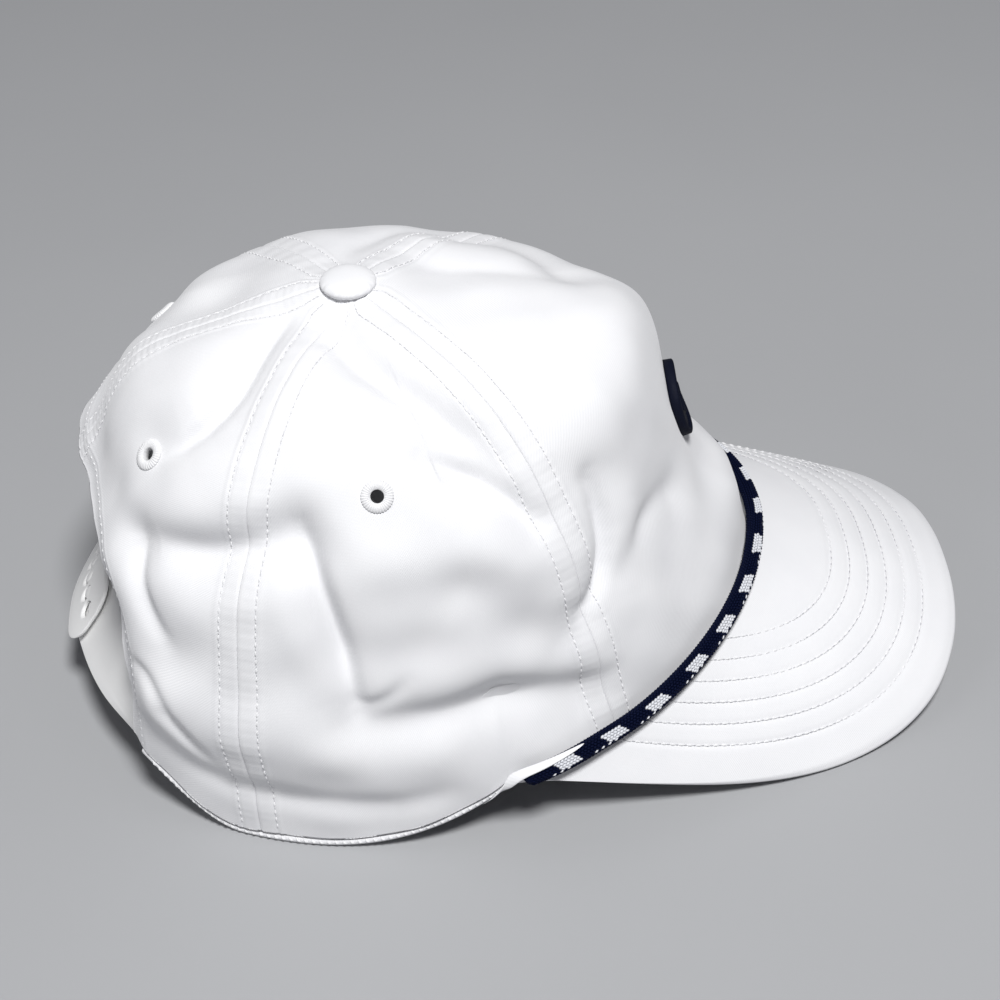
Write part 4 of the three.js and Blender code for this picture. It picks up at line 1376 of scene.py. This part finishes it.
def tab_plate(name, loops):
    """A flat bevelled plate inside the first loop, with the others as holes."""
    curve = bpy.data.curves.new(name, "CURVE")
    curve.dimensions = "2D"
    curve.fill_mode = "BOTH"
    curve.extrude = STRAP_THICKNESS / 2 - TAB_BEVEL
    curve.bevel_depth = TAB_BEVEL
    curve.bevel_resolution = 2
    curve.offset = -TAB_BEVEL
    for loop in loops:
        spline = curve.splines.new("POLY")
        spline.points.add(len(loop) - 1)
        spline.use_cyclic_u = True
        for point, (x, y) in zip(spline.points, loop):
            point.co = (x, y, 0, 1)
    holder = linked(name + "_outline", curve)
    bpy.context.view_layer.update()
    flat = bpy.data.meshes.new_from_object(holder.evaluated_get(bpy.context.evaluated_depsgraph_get()))
    bpy.data.objects.remove(holder)
    return flat


def tab_mesh(name, start, end, out, flare, holes):
    """A strap tab: a flat plate with round holes, bent along the strap's way."""
    azimuths = np.linspace(start, end, 400)
    run = length_along(strap_place(azimuths, STRAP_MIDDLE))
    order = np.argsort(azimuths)
    centres = np.interp(holes, azimuths[order], run[order])
    turn = full_turn(36)
    circle = np.stack([np.cos(turn), np.sin(turn)], -1) * HOLE_RADIUS
    loops = [tab_outline(run[-1]), *((circle + (x, STRAP_HEIGHT / 2)).tolist() for x in centres)]
    flat = tab_plate(name, loops)
    with edited(flat) as mesh:
        bmesh.ops.remove_doubles(mesh, verts=mesh.verts, dist=1e-4)
        for x in np.arange(TAB_STEP, run[-1], TAB_STEP):
            geometry = mesh.verts[:] + mesh.edges[:] + mesh.faces[:]
            bmesh.ops.bisect_plane(mesh, geom=geometry, plane_co=(x, 0, 0), plane_no=(1, 0, 0), dist=1e-5)
        along, rise, level = np.array([v.co for v in mesh.verts]).T
        azimuth = np.interp(along, run, azimuths)
        away = np.abs(azimuth)
        level += flare * smooth01((away - STRAP_FLARE_FROM) / (STRAP_OUTER_END - STRAP_FLARE_FROM))
        level += out * smooth01((away - STRAP_ROOT - 2) / 9) - STRAP_THICKNESS / 2
        bent = strap_place(azimuth, STRAP_RISE + rise, level)
        for vert, place in zip(mesh.verts, (bent + SHIFT) * MM):
            vert.co = place
    piece = face_out(finished(name, flat, strap_plastic))
    flat.set_sharp_from_angle(angle=math.radians(50))
    return piece


def strap():
    """The closed strap: the outer tab's first holes lie over the inner tab's pegs."""
    holes = [hole_azimuth(i) for i in range(HOLE_COUNT)]
    out = STRAP_OUTER_OUT - TAB_TOUCH
    outer = tab_mesh("strap_outer_tab_shaped", -STRAP_ROOT, -STRAP_OUTER_END, out, STRAP_FLARE, holes)
    place_piece(outer, "strap_plastic", "strap_outer_tab")
    inner = tab_mesh("strap_inner_tab_shaped", STRAP_ROOT, STRAP_INNER_END, 0, 0, [])
    place_piece(inner, "strap_plastic", "strap_inner_tab")
    top = out + PEG_SHOWS
    stem = [(PEG_RADIUS * 0.9, -0.4), (PEG_RADIUS, 0.2), (PEG_RADIUS, top - 0.6)]
    profile = stem + [(PEG_RADIUS * 0.9, top - 0.2), (PEG_RADIUS * 0.6, top), (0.05, top)]
    for i, at in enumerate(holes[:PEG_COUNT]):
        place = strap_place(at, STRAP_MIDDLE)
        facing = normal_on(strap_place, at, STRAP_MIDDLE, 1, 1)
        peg = lathe(f"strap_peg_{i + 1}", profile, 32, place, facing, strap_plastic)
        place_piece(peg, "strap_plastic")


# Camera, lights and floor

CAMERA_PLACE = np.array([-443.35, -0.98, 423.52])
CAMERA_RIGHT = (-0.0817, -0.9964, -0.0208)
CAMERA_DOWN = (-0.6425, 0.0686, -0.7632)
CAMERA_LENS = 73.48
LIGHTS = (
    ("key", (-0.62, -0.12, 1.52), (0, 0, 0.05), 0.4, 27.2),
    ("back", (-0.5, 1.2, 0.8), (0, 0, 0.06), 0.7, 2.2),
)
SKY = (0.88, 0.89, 1, 1)
SKY_STRENGTH = 0.12
FLOOR_HALF = 6.0  # metres
FLOOR_COLOURS = ((0.37, 0.375, 0.385, 1), (0.4, 0.405, 0.415, 1))


def camera():
    """The view that the photo was taken from."""
    right = Vector(CAMERA_RIGHT).normalized()
    up = -Vector(CAMERA_DOWN)
    up = (up - right * up.dot(right)).normalized()
    back = right.cross(up)
    data = bpy.data.cameras.new("camera")
    data.lens = CAMERA_LENS
    data.sensor_width = 36
    data.clip_start = 0.02
    made = linked("camera", data)
    turn = Matrix((right, up, back)).transposed().to_4x4()
    made.matrix_world = Matrix.Translation((CAMERA_PLACE + SHIFT) * MM) @ turn
    bpy.context.scene.camera = made


def area_light(name, place, target, size, power):
    """A round light in metres and watts."""
    data = bpy.data.lights.new(name, "AREA")
    data.shape = "DISK"
    data.size = size
    data.energy = power
    made = linked(name, data)
    made.location = place
    made.rotation_euler = (Vector(target) - Vector(place)).to_track_quat("-Z", "Y").to_euler()


def studio():
    """A small high key light, a weak light from behind and a dim sky."""
    for light in LIGHTS:
        area_light(*light)
    world = bpy.data.worlds.new("studio")
    world.use_nodes = True
    background = world.node_tree.nodes["Background"]
    background.inputs["Color"].default_value = SKY
    background.inputs["Strength"].default_value = SKY_STRENGTH
    bpy.context.scene.world = world
    bpy.context.scene.view_settings.view_transform = "Standard"


def floor():
    """A plain grey ground, which isn't part of the cap."""
    corners = [(FLOOR_HALF * x, FLOOR_HALF * y, 0) for x, y in ((-1, -1), (1, -1), (1, 1), (-1, 1))]
    mesh = bpy.data.meshes.new("floor")
    mesh.from_pydata(corners, [], [(0, 1, 2, 3)])
    material, tree, shader = new_material("floor")
    grain = noise(tree, node(tree, "TexCoord", {})["Object"], 6, 6)
    connect(tree, shader, {"Base Color": mixed(tree, grain, *FLOOR_COLOURS), "Roughness": 0.85})
    finished("floor", mesh, material)


camera()
studio()
floor()
crown()
seam_stitches()
peak()
sweatband()
rope()
cord_cover()
button()
eyelets()
badge()
strap()
